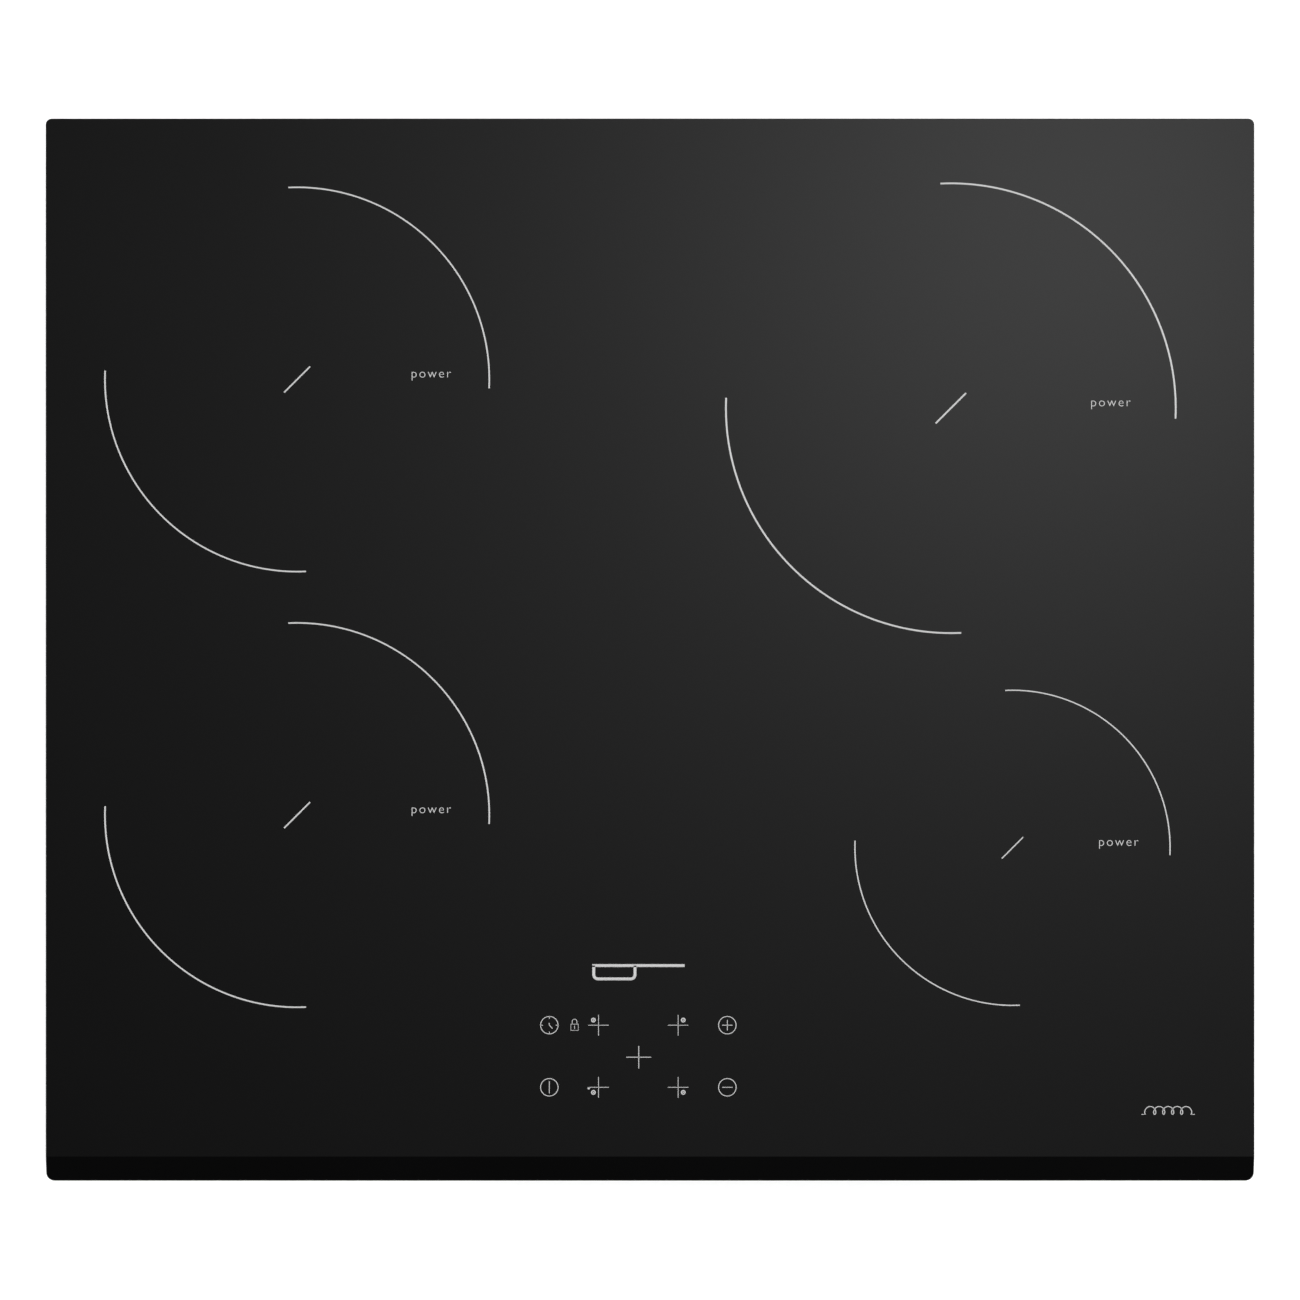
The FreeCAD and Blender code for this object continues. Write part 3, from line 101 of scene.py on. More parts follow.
# %% Wires and graphs
class Wire:
    """One value in a node tree. Arithmetic on it adds Math nodes."""

    def __init__(self, graph, socket):
        self.graph, self.socket = graph, socket

    def math(self, operation, first, second=0.0):
        return self.graph.node("ShaderNodeMath", {"operation": operation}, {0: first, 1: second})

    def also(self, name):
        """Another output of the same node."""
        return Wire(self.graph, self.socket.node.outputs[name])

    def __add__(self, other):
        return self.math("ADD", self, other)

    def __sub__(self, other):
        return self.math("SUBTRACT", self, other)

    def __rsub__(self, other):
        return self.math("SUBTRACT", other, self)

    def __mul__(self, other):
        return self.math("MULTIPLY", self, other)

    def __truediv__(self, other):
        return self.math("DIVIDE", self, other)

    def __rtruediv__(self, other):
        return self.math("DIVIDE", other, self)

    def __gt__(self, other):
        return self.math("GREATER_THAN", self, other)

    __radd__, __rmul__ = __add__, __mul__


class Graph:
    """A node tree that is built by calls to node(). A ramp's stops are a setting: (position, colour)."""

    def __init__(self, tree):
        self.tree = tree

    def node(self, kind, settings=None, inputs=None, out=0):
        made = self.tree.nodes.new(kind)
        for key, value in (settings or {}).items():
            if key == "stops":
                ramp = made.color_ramp.elements
                while len(ramp) < len(value):
                    ramp.new(1.0)
                for element, (position, colour) in zip(ramp, value):
                    element.position, element.color = position, (*colour, 1.0)
            else:
                setattr(made, key, value)
        for key, value in (inputs or {}).items():
            for one in value if isinstance(value, list) else [value]:
                if isinstance(one, Wire):
                    self.tree.links.new(one.socket, made.inputs[key])
                else:
                    made.inputs[key].default_value = one
        return Wire(self, made.outputs[out]) if made.outputs else None


print("node helpers ready:", Wire.__name__, "and", Graph.__name__)

# %% [markdown]
# ## The finish class
#
# A finish is a Principled material. All of its patterns read Object coordinates. Each piece's object sits
# at the origin, so Object coordinates are the real place on the hob in metres, and a pattern keeps its
# real size whatever piece it is on. Values that are the same all over are set on the shader's own sockets.

# %% Finish
class Finish(Graph):
    """A material: one Principled shader, and short names for the patterns that feed it."""

    def __init__(self, name, values):
        self.material = bpy.data.materials.new(name)
        self.material.use_nodes = True
        super().__init__(self.material.node_tree)
        self.tree.nodes.clear()
        self.place = self.node("ShaderNodeTexCoord", out="Object")
        self.shader = self.node("ShaderNodeBsdfPrincipled", None, values)
        self.node("ShaderNodeOutputMaterial", None, {"Surface": self.shader})

    def feed(self, socket, value):
        self.tree.links.new(value.socket, self.shader.socket.node.inputs[socket])

    def stretched(self, x, y, z):
        """The place with each axis scaled, for grain that runs one way."""
        return self.node("ShaderNodeVectorMath", {"operation": "MULTIPLY"}, {0: self.place, 1: (x, y, z)})

    def noise(self, scale, detail=2.0, roughness=0.5, place=None):
        inputs = {"Vector": place or self.place, "Scale": scale, "Detail": detail, "Roughness": roughness}
        return self.node("ShaderNodeTexNoise", None, inputs)

    def cells(self, scale, out="Distance"):
        """Voronoi cells: the distance from a cell's middle, or one random colour for each cell."""
        return self.node("ShaderNodeTexVoronoi", None, {"Vector": self.place, "Scale": scale}, out)

    def between(self, factor, first, second):
        """A colour between two, by a factor from 0 to 1."""
        colours = [c if isinstance(c, Wire) else (*c, 1.0) for c in (first, second)]
        return self.node("ShaderNodeMix", {"data_type": "RGBA"}, {0: factor, 6: colours[0], 7: colours[1]}, 2)

    def spread(self, value, low, high, to_low, to_high):
        """The value's range from low to high, made to run from to_low to to_high."""
        inputs = {"Value": value, "From Min": low, "From Max": high, "To Min": to_low, "To Max": to_high}
        return self.node("ShaderNodeMapRange", None, inputs)

    def relief(self, height, depth):
        """Makes the surface rise and fall by this height field times depth, in metres."""
        bump = self.node("ShaderNodeBump", None, {"Strength": 1.0, "Distance": depth, "Height": height})
        self.feed("Normal", bump)


finishes = {}  # material slot -> material
print("finish helpers ready")

# %% [markdown]
# ## Black glass-ceramic
#
# The plate is coloured right through, so it is a very dark dielectric with a mirror-like face: all that is
# seen of it is about 4% of whatever is above it. A faint cloud in the roughness stands for the film that
# wiping leaves. The edges are ground and then polished less, so they are a second, duller finish.

# %% Glass finishes
def black_glass(name, roughness, film):
    glass = Finish(name, {"IOR": 1.52})
    cloud = glass.noise(9.0, 3.0, 0.6)
    glass.feed("Base Color", glass.between(cloud, (0.0005, 0.0005, 0.0005), (0.0014, 0.0014, 0.0015)))
    wiped = glass.noise(1.0, 4.0, 0.6, glass.stretched(14.0, 60.0, 14.0))
    glass.feed("Roughness", glass.spread(wiped, 0.3, 0.7, roughness, roughness + film))
    return glass.material


finishes["black_glass"] = black_glass("black_glass", 0.025, 0.03)
ground_edge = black_glass("ground_glass_edge", 0.22, 0.10)
print("glass finishes:", finishes["black_glass"].name, ground_edge.name)

# %% [markdown]
# ## Fired enamel
#
# The marks are screen-printed glass enamel, fired into the surface. It is a light neutral grey, satin
# rather than shiny, with a very fine grain from the screen's mesh.

# %% Enamel
def fired_enamel():
    enamel = Finish("print_enamel", {"IOR": 1.5})
    grain = enamel.noise(5200.0, 2.0)
    enamel.feed("Base Color", enamel.between(grain, (0.56, 0.56, 0.56), (0.68, 0.68, 0.68)))
    enamel.feed("Roughness", enamel.spread(grain, 0.3, 0.7, 0.38, 0.50))
    enamel.relief(grain, 0.000004)
    return enamel.material


finishes["print_enamel"] = fired_enamel()
print("print:", finishes["print_enamel"].name)

# %% [markdown]
# ## Sheet metals
#
# The case is galvanised steel. Molten zinc freezes into crystals, so the sheet shows patches a few
# millimetres across, each with its own brightness: Voronoi cells give exactly that. Rolled aluminium and
# strip steel have fine straight lines instead, which are noise stretched along the rolling direction.

# %% Metals
def galvanised_steel():
    zinc = Finish("galvanised_sheet", {"Metallic": 1.0})
    crystal = zinc.cells(120.0, out="Color")
    fine = zinc.cells(310.0, out="Color")
    patch = zinc.node("ShaderNodeSeparateColor", None, {0: crystal}) * 0.7
    patch = patch + zinc.node("ShaderNodeSeparateColor", None, {0: fine}) * 0.3
    zinc.feed("Base Color", zinc.between(patch, (0.29, 0.302, 0.312), (0.50, 0.51, 0.518)))
    stain = zinc.noise(14.0, 4.0, 0.6)
    zinc.feed("Roughness", zinc.spread(patch + stain, 0.5, 1.5, 0.30, 0.52))
    zinc.relief(zinc.noise(900.0, 3.0), 0.00001)
    return zinc.material


LINES_ACROSS, LINES_ALONG = 900.0, 18.0  # noise scale across the rolling direction, and along it


def rolled_metal(name, dark, light, roughness, along):
    """Sheet or strip with fine lines along X, Y or Z."""
    metal = Finish(name, {"Metallic": 1.0})
    scale = [LINES_ACROSS] * 3
    scale["XYZ".index(along)] = LINES_ALONG
    lines = metal.noise(1.0, 4.0, 0.7, metal.stretched(*scale))
    smear = metal.noise(30.0, 3.0)
    metal.feed("Base Color", metal.between(lines, dark, light))
    metal.feed("Roughness", metal.spread(lines + smear, 0.6, 1.4, roughness, roughness + 0.16))
    metal.relief(lines, 0.000006)
    return metal.material


def plated_steel(name, dark, light, roughness):
    """Small turned or pressed parts with a bright zinc plating that is slightly cloudy."""
    metal = Finish(name, {"Metallic": 1.0})
    cloud = metal.noise(260.0, 4.0, 0.65)
    metal.feed("Base Color", metal.between(cloud, dark, light))
    metal.feed("Roughness", metal.spread(cloud, 0.3, 0.7, roughness, roughness + 0.18))
    metal.relief(metal.noise(3000.0, 2.0), 0.000003)
    return metal.material


finishes["galvanised_sheet"] = galvanised_steel()
finishes["clamp_steel"] = rolled_metal("clamp_steel", (0.44, 0.45, 0.46), (0.60, 0.61, 0.62), 0.26, "Y")
finishes["tray_aluminium"] = rolled_metal("tray_aluminium", (0.70, 0.71, 0.72), (0.82, 0.83, 0.84), 0.30, "X")
finishes["sink_aluminium"] = rolled_metal("sink_aluminium", (0.66, 0.67, 0.69), (0.80, 0.81, 0.83), 0.34, "Y")
finishes["zinc_screws"] = plated_steel("zinc_screws", (0.52, 0.52, 0.48), (0.70, 0.69, 0.64), 0.22)
finishes["motor_steel"] = plated_steel("motor_steel", (0.40, 0.40, 0.42), (0.55, 0.55, 0.57), 0.28)
finishes["shaft_steel"] = plated_steel("shaft_steel", (0.60, 0.60, 0.62), (0.74, 0.74, 0.76), 0.12)
finishes["spring_wire"] = plated_steel("spring_wire", (0.52, 0.52, 0.54), (0.70, 0.70, 0.72), 0.18)
finishes["key_contact"] = plated_steel("key_contact", (0.70, 0.56, 0.30), (0.88, 0.76, 0.46), 0.18)
finishes["terminal_brass"] = plated_steel("terminal_brass", (0.62, 0.46, 0.20), (0.80, 0.64, 0.34), 0.20)
print("metals:", [name for name, made in finishes.items() if "steel" in name or "aluminium" in name])

# %% [markdown]
# ## Moulded plastic, rubber and foam
#
# Moulded parts take the fine spark-eroded texture of their mould. One function makes them all from a colour,
# a gloss and the size of that grain. Foam is the same idea with open pores instead of grain. Its pores are
# painted darker towards their middles as shade in the hollows.

# %% Plastics
def moulded(name, colour, roughness, grain=1600.0, depth=0.00002):
    plastic = Finish(name, {"IOR": 1.46})
    flow = plastic.noise(22.0, 3.0)
    lighter = tuple(min(1.0, c * 1.25 + 0.004) for c in colour)
    plastic.feed("Base Color", plastic.between(flow, colour, lighter))
    texture = plastic.noise(grain, 3.0, 0.6)
    plastic.feed("Roughness", plastic.spread(texture + flow, 0.6, 1.4, roughness, min(1.0, roughness + 0.15)))
    plastic.relief(texture, depth)
    return plastic.material


def foam():
    soft = Finish("foam", {"IOR": 1.4, "Roughness": 0.92})
    pore_depth_and_shade = soft.cells(1500.0)
    # painted shade: each pore is darker towards its middle, where the same field sinks it as a hollow
    soft.feed("Base Color", soft.between(pore_depth_and_shade, (0.018, 0.018, 0.018), (0.060, 0.060, 0.060)))
    soft.relief(pore_depth_and_shade, 0.0002)
    return soft.material


PLASTICS = {  # slot: (colour, roughness, scale of the mould's grain)
    "silicone": ((0.012, 0.012, 0.012), 0.35, 700.0),
    "coil_plastic": ((0.030, 0.030, 0.032), 0.50, 1600.0),
    "sensor_body": ((0.78, 0.77, 0.72), 0.45, 2400.0),
    "tray_plastic": ((0.028, 0.028, 0.031), 0.48, 1600.0),
    "transistor_epoxy": ((0.012, 0.012, 0.013), 0.55, 2400.0),
    "film_capacitor": ((0.035, 0.100, 0.300), 0.28, 900.0),
    "electrolytic_sleeve": ((0.020, 0.026, 0.060), 0.25, 900.0),
    "relay_plastic": ((0.020, 0.030, 0.060), 0.38, 1600.0),
    "header_plastic": ((0.74, 0.71, 0.60), 0.42, 1600.0),
    "fan_plastic": ((0.016, 0.016, 0.018), 0.42, 1600.0),
    "duct_plastic": ((0.055, 0.056, 0.060), 0.50, 1600.0),
    "display_epoxy": ((0.050, 0.008, 0.008), 0.15, 600.0),
    "ribbon": ((0.48, 0.48, 0.49), 0.40, 900.0),
    "terminal_plastic": ((0.020, 0.020, 0.022), 0.46, 1600.0),
    "terminal_block_plastic": ((0.76, 0.74, 0.66), 0.32, 1600.0),
    "gland_rubber": ((0.014, 0.014, 0.014), 0.60, 1200.0),
    "lead_sleeve": ((0.70, 0.68, 0.62), 0.42, 1200.0),
}
for slot, (colour, roughness, grain) in PLASTICS.items():
    finishes[slot] = moulded(slot, colour, roughness, grain)
finishes["foam"] = foam()
print("plastics:", len(PLASTICS) + 1)

# %% [markdown]
# ## What is inside
#
# Four materials are particular to a coil. The winding is bundles of hair-thin enamelled copper, the mica
# sheet is pressed from silvery flakes, ferrite is a dense grey ceramic, and the boards are glass fibre
# under a green lacquer that shows the copper tracks as paler lines.

# %% Coil and board finishes
def stranded_copper(name, dark, light):
    copper = Finish(name, {"Metallic": 1.0})
    strands = copper.noise(2600.0, 3.0, 0.6)
    copper.feed("Base Color", copper.between(strands, dark, light))
    copper.feed("Roughness", copper.spread(strands, 0.3, 0.7, 0.24, 0.42))
    copper.relief(strands, 0.00008)
    return copper.material


def mica_sheet():
    mica = Finish("mica", {"IOR": 1.58})
    flakes = mica.cells(330.0, out="Color")
    flake = mica.node("ShaderNodeSeparateColor", None, {0: flakes})
    mica.feed("Base Color", mica.between(flake, (0.42, 0.36, 0.27), (0.66, 0.60, 0.50)))
    mica.feed("Roughness", mica.spread(flake, 0.0, 1.0, 0.22, 0.48))
    mica.relief(flake, 0.00003)
    return mica.material


def grey_ferrite():
    ferrite = Finish("ferrite", {"IOR": 1.9})
    grain = ferrite.noise(1900.0, 4.0, 0.7)
    ferrite.feed("Base Color", ferrite.between(grain, (0.030, 0.030, 0.032), (0.075, 0.075, 0.078)))
    ferrite.feed("Roughness", ferrite.spread(grain, 0.3, 0.7, 0.40, 0.58))
    ferrite.relief(grain, 0.00003)
    return ferrite.material


def green_board():
    board = Finish("circuit_board", {"IOR": 1.5, "Coat Roughness": 0.12, "Coat Weight": 0.5})
    waves = {"Vector": board.place, "Scale": 120.0, "Distortion": 6.0, "Detail": 0.0}
    track = board.node("ShaderNodeTexWave", {"bands_direction": "DIAGONAL"}, waves, "Fac") > 0.62
    green = board.between(track, (0.006, 0.055, 0.022), (0.014, 0.115, 0.045))
    pad = 1 - (board.cells(210.0) > 0.16)
    board.feed("Base Color", board.between(pad, green, (0.52, 0.53, 0.50)))
    board.feed("Roughness", board.spread(board.noise(160.0), 0.3, 0.7, 0.28, 0.42))
    board.relief(track, 0.00003)
    return board.material


finishes["copper_litz"] = stranded_copper("copper_litz", (0.50, 0.19, 0.075), (0.86, 0.40, 0.20))
finishes["choke_copper"] = stranded_copper("choke_copper", (0.46, 0.15, 0.055), (0.80, 0.33, 0.14))
finishes["mica"] = mica_sheet()
finishes["ferrite"] = grey_ferrite()
finishes["circuit_board"] = green_board()
print("inside finishes done; slots covered:", len(finishes))

# %% [markdown]
# Every CAD node now takes the finish of its slot from the record. Only the object's material slots change,
# and the meshes stay as they are.

# %% Dress the CAD nodes
for name, thing in nodes.items():
    for material_slot in thing.material_slots:
        material_slot.material = finishes[slot_of[name]]
print("dressed", len(nodes), "nodes")

# %% [markdown]
# ## Helpers for new pieces
#
# A finished piece rides on a CAD body and may stand for CAD nodes, which are then hidden. `lumps` reads where
# the separate solids of a grouped node are, so a spring or a choke goes where the frame has it, with no table
# of places here.

# %% Piece helpers
def piece(thing, body, slot, *stands_for):
    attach(thing, body)
    if stands_for:
        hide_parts(*stands_for)
    print(f"{thing.name}: {len(thing.data.polygons)} faces on {body}")
    return thing


def new_object(name, mesh):
    mesh.name = name
    thing = bpy.data.objects.new(name, mesh)
    bpy.context.scene.collection.objects.link(thing)
    return thing


def lumps(node):
    """(lowest corner, highest corner) of each separate solid in a CAD node."""
    bm = bmesh.new()
    bm.from_mesh(nodes[node].data)
    bmesh.ops.remove_doubles(bm, verts=bm.verts, dist=1e-6)
    unseen, found = set(bm.verts), []
    while unseen:
        reached, edge_of_search = [], [unseen.pop()]
        while edge_of_search:
            vert = edge_of_search.pop()
            reached.append(vert.co.copy())
            for edge in vert.link_edges:
                other = edge.other_vert(vert)
                if other in unseen:
                    unseen.discard(other)
                    edge_of_search.append(other)
        low = Vector(map(min, zip(*reached)))
        found.append((low, Vector(map(max, zip(*reached)))))
    bm.free()
    return sorted(found, key=lambda corners: tuple(round(c, 5) for c in corners[0]))


print("piece helpers ready")

# %% [markdown]
# ## The glass plate
#
# A cube with a bevel would round all corners alike, and this plate has small corner radii, finely ground
# edges and a 12 mm facet along the front only. So it is made from its outline: the same rounded rectangle
# at a few heights, drawn in a little at the top and bottom for the ground edges. A cut across the plate
# then starts the facet, and everything in front of it is lowered along a slope.

# %% Glass
glass_low, glass_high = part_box("glass_plate")
INK = 0.02 * MM  # the enamel stands this high on the glass
GROUND = 0.32 * MM  # width of the ground edge
GROUND_TURNS = [math.radians(turn) for turn in (0, 30, 60, 90)]  # from the flat face round to the edge
REAR_RADIUS, FRONT_RADIUS = 3.0 * MM, 4.0 * MM
FACET_WIDTH, FACET_DROP = 12.0 * MM, 2.2 * MM
POLISHED_AREA = 1000 * MM * MM  # the top, the facet and the underside are larger than this
glass_top = glass_high.z - INK


def rounded_outline(half_x, half_y, rear_radius, front_radius, steps=8):
    """Points round a rectangle whose rear and front corners have their own radii."""
    points = []
    for sx, sy, start in ((1, -1, -90), (1, 1, 0), (-1, 1, 90), (-1, -1, 180)):
        radius = rear_radius if sy > 0 else front_radius
        for step in range(steps + 1):
            angle = math.radians(start + 90 * step / steps)
            x = sx * (half_x - radius) + radius * math.cos(angle)
            points.append((x, sy * (half_y - radius) + radius * math.sin(angle)))
    return points


def glass_mesh():
    bm = bmesh.new()
    middle = (glass_low + glass_high) / 2
    half = (glass_high - glass_low) / 2
    ground = [(GROUND * (1 - math.sin(a)), GROUND * (1 - math.cos(a))) for a in GROUND_TURNS]
    levels = [(inset, glass_low.z + step) for inset, step in ground]
    levels += [(inset, glass_top - step) for inset, step in reversed(ground)]
    rings = []
    for inset, z in levels:
        outline = rounded_outline(half.x - inset, half.y - inset, REAR_RADIUS - inset, FRONT_RADIUS - inset)
        rings.append([bm.verts.new((middle.x + x, middle.y + y, z)) for x, y in outline])
    for lower, upper in zip(rings, rings[1:]):
        for i in range(len(lower)):
            j = (i + 1) % len(lower)
            bm.faces.new((lower[i], lower[j], upper[j], upper[i]))
    bm.faces.new(rings[-1])
    bm.faces.new(rings[0][::-1])
    facet_y = glass_low.y + FACET_WIDTH
    everything = bm.verts[:] + bm.edges[:] + bm.faces[:]
    bmesh.ops.bisect_plane(bm, geom=everything, plane_co=(0, facet_y, 0), plane_no=(0, 1, 0))
    half_height = (glass_low.z + glass_top) / 2
    for vert in bm.verts:
        if vert.co.z > half_height and vert.co.y < facet_y:
            vert.co.z -= FACET_DROP * (facet_y - vert.co.y) / FACET_WIDTH
    bmesh.ops.recalc_face_normals(bm, faces=bm.faces)
    for face in bm.faces:
        polished = face.calc_area() > POLISHED_AREA and abs(face.normal.z) > 0.5
        face.material_index = 0 if polished else 1
        face.smooth = not polished
    mesh = bpy.data.meshes.new("glass")
    bm.to_mesh(mesh)
    bm.free()
    mesh.materials.append(finishes["black_glass"])
    mesh.materials.append(ground_edge)
    return mesh


piece(new_object("glass_top", glass_mesh()), "hob", "black_glass", "glass_plate")

# %% [markdown]
# ## Geometry Nodes from Python
#
# Lines of print, coils and springs all follow a path, so Geometry Nodes make them. `Recipe` starts a tree
# with named inputs, and has short names for the sections and the sweep. `baked` puts the tree on an object
# as a modifier, sets its inputs by their sockets' identifiers, takes the result as a plain mesh and removes
# the modifier, so nothing live is left.

# %% Recipes
class Recipe(Graph):
    """A Geometry Nodes tree with named inputs, which ends in Realize Instances and Set Material."""

    KINDS = {
        "float": "NodeSocketFloat", "int": "NodeSocketInt", "vector": "NodeSocketVector",
        "material": "NodeSocketMaterial",
    }

    def __init__(self, name, **kinds):
        super().__init__(bpy.data.node_groups.new(name, "GeometryNodeTree"))
        interface = self.tree.interface
        interface.new_socket("Geometry", in_out="OUTPUT", socket_type="NodeSocketGeometry")
        interface.new_socket("Geometry", in_out="INPUT", socket_type="NodeSocketGeometry")
        self.sockets = {}
        for key, kind in {"Finish": "material", **kinds}.items():
            made = interface.new_socket(key, in_out="INPUT", socket_type=self.KINDS[kind])
            self.sockets[key] = made.identifier
        self.given = self.node("NodeGroupInput")

    def __getitem__(self, key):
        return self.given.also(key)

    def circle(self, resolution, radius):
        inputs = {"Resolution": resolution, "Radius": radius}
        return self.node("GeometryNodeCurvePrimitiveCircle", None, inputs)

    def rectangle(self, width, height):
        inputs = {"Width": width, "Height": height}
        return self.node("GeometryNodeCurvePrimitiveQuadrilateral", None, inputs)

    def swept(self, path, section, caps=True):
        inputs = {"Curve": path, "Profile Curve": section, "Fill Caps": caps}
        return self.node("GeometryNodeCurveToMesh", None, inputs)

    def finish(self, geometry):
        real = self.node("GeometryNodeRealizeInstances", None, {"Geometry": geometry})
        dressed = self.node("GeometryNodeSetMaterial", None, {"Geometry": real, "Material": self["Finish"]})
        self.node("NodeGroupOutput", None, {0: dressed})
        return self


def baked(recipe, material, source, values):
    """The mesh that a recipe makes from a source mesh and its input values."""
    carrier = bpy.data.objects.new("carrier", source)
    bpy.context.scene.collection.objects.link(carrier)
    modifier = carrier.modifiers.new("recipe", "NODES")
    modifier.node_group = recipe.tree
    modifier[recipe.sockets["Finish"]] = material
    for key, value in values.items():
        modifier[recipe.sockets[key]] = value
    graph = bpy.context.evaluated_depsgraph_get()
    mesh = bpy.data.meshes.new_from_object(carrier.evaluated_get(graph))
    bpy.data.objects.remove(carrier)
    for polygon in mesh.polygons:
        polygon.use_smooth = len(polygon.vertices) == 4
    return mesh


def line_mesh(paths):
    """Edges along each path of (x, y, z) points. A path is (points, closed)."""
    mesh = bpy.data.meshes.new("lines")
    verts, edges = [], []
    for points, closed in paths:
        first = len(verts)
        verts += points
        edges += [(first + i, first + i + 1) for i in range(len(points) - 1)]
        if closed:
            edges.append((len(verts) - 1, first))
    mesh.from_pydata(verts, edges, [])
    return mesh


def joined(meshes, material):
    """One mesh of several, with one material."""
    bm = bmesh.new()
    for mesh in meshes:
        bm.from_mesh(mesh)
        bpy.data.meshes.remove(mesh)
    whole = bpy.data.meshes.new("joined")
    bm.to_mesh(whole)
    bm.free()
    whole.materials.append(material)
    return whole


print("recipe helpers ready")

# %% [markdown]
# ## The printed rings
#
# Each zone is marked by two quarter arcs, open at opposite corners, and a short slanting tick in the
# middle. The ring is a little larger than the coil below it, and its line grows with its radius. The tree
# draws one arc, turns a copy half round, adds the tick and sweeps a flat rectangle along all three.

# %% Zone print
COIL_INSET = 4.5 * MM  # the winding ends this far inside its ring
ARC_SPAN = math.radians(95.3)
STROKE_SHARE = 0.0079  # line width over ring radius
TICK_SHARE = 0.0675  # half of the tick's width over ring radius
ZONE_NAMES = ("rear_left", "front_left", "rear_right", "front_right")


def zone_recipe():
    recipe = Recipe("zone_print", Radius="float", Stroke="float", Ink="float", Place="vector")
    radius, stroke, ink = recipe["Radius"], recipe["Stroke"], recipe["Ink"]
    arc = recipe.node("GeometryNodeCurveArc", {"mode": "RADIUS"}, {
        "Resolution": 96, "Radius": radius,
        "Start Angle": math.radians(45) - ARC_SPAN / 2, "Sweep Angle": ARC_SPAN,
    })
    other = recipe.node("GeometryNodeTransform", None, {"Geometry": arc, "Rotation": (0, 0, math.pi)})
    reach = radius * TICK_SHARE
    ends = []
    for sign in (-1, 1):
        ends.append(recipe.node("ShaderNodeCombineXYZ", None, {0: reach * sign, 1: reach * sign}))
    tick = recipe.node("GeometryNodeCurvePrimitiveLine", None, {"Start": ends[0], "End": ends[1]})
    lines = recipe.node("GeometryNodeJoinGeometry", None, {"Geometry": [arc, other, tick]})
    swept = recipe.swept(lines, recipe.rectangle(stroke, ink))
    placed = recipe.node("GeometryNodeTransform", None, {"Geometry": swept, "Translation": recipe["Place"]})
    return recipe.finish(placed)


zone_print = zone_recipe()
ink_z = glass_high.z - INK  # middle of the ink's section, half sunk in the glass
zones = {}
for zone in ZONE_NAMES:
    low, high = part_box(f"coil_winding_{zone}")
    radius = max(high - low) / 2 + COIL_INSET
    middle = (low + high) / 2
    zones[zone] = (middle.x, middle.y, radius)
    values = {
        "Radius": radius, "Stroke": radius * STROKE_SHARE, "Ink": 2 * INK,
        "Place": (middle.x, middle.y, ink_z),
    }
    mesh = baked(zone_print, finishes["print_enamel"], bpy.data.meshes.new("none"), values)
    piece(new_object(f"zone_ring_{zone}", mesh), "hob", "print_enamel")
    print(zone, "ring diameter", round(2 * radius / MM, 1), "mm")

# %% [markdown]
# ## The key symbols
#
# The symbols are drawn as paths in millimetres about the middle of the key field, where the sprung
# contacts lie under the glass. One tree turns any set of paths into flat ink of a given width. A circle is
# a closed path, and a lamp window is a ring of ink with a dot in it.

# %% Ink tree
def ink_recipe():
    recipe = Recipe("ink_line", Stroke="float", Ink="float")
    path = recipe.node("GeometryNodeMeshToCurve", None, {"Mesh": recipe["Geometry"]})
    return recipe.finish(recipe.swept(path, recipe.rectangle(recipe["Stroke"], recipe["Ink"])))


ink_line = ink_recipe()
print("ink tree inputs:", list(ink_line.sockets))

# %% Drawing in millimetres
key_low, key_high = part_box("touch_springs")
key_middle = (key_low + key_high) / 2


def at(x, y):
    """A place on the ink from millimetres about the middle of the key field."""
    return (key_middle.x + x * MM, key_middle.y + y * MM, ink_z)


def line(*points):
    return [at(x, y) for x, y in points], False


def bar(x, y, half_x, half_y=0.0):
    """A straight stroke with its middle at (x, y)."""
    return line((x - half_x, y - half_y), (x + half_x, y + half_y))


def loop(*points):
    return [at(x, y) for x, y in points], True


def arc(x, y, radius, start=0, sweep=360, steps=48):
    closed = sweep == 360
    turns = [math.radians(start + sweep * i / steps) for i in range(steps if closed else steps + 1)]
    return [at(x + radius * math.cos(t), y + radius * math.sin(t)) for t in turns], closed


def symbol(name, drawing):
    """A printed symbol from {line width in millimetres: paths}."""
    meshes = []
    for stroke, paths in drawing.items():
        values = {"Stroke": stroke * MM, "Ink": 2 * INK}
        meshes.append(baked(ink_line, finishes["print_enamel"], line_mesh(paths), values))
    mesh = joined(meshes, finishes["print_enamel"])
    piece(new_object(name, mesh), "hob", "print_enamel")


# %% Round keys
HAIR, FINE, BOLD = 0.29, 0.34, 0.37  # line widths
OUTER_X, ROW_Y, KEY_RADIUS = 42.7, 14.9, 4.2
MARK_NEAR, MARK_FAR = 3.1, 4.2  # ends of the clock's quarter marks, from its middle
SIGN_HALF, POWER_HALF = 2.5, 2.95  # half lengths of a plus or minus bar, and of the on-off bar


def round_key(name, x, y, marks):
    drawing = {BOLD: [arc(x, y, KEY_RADIUS)]}
    for stroke, paths in marks.items():
        drawing.setdefault(stroke, []).extend(paths)
    symbol(name, drawing)


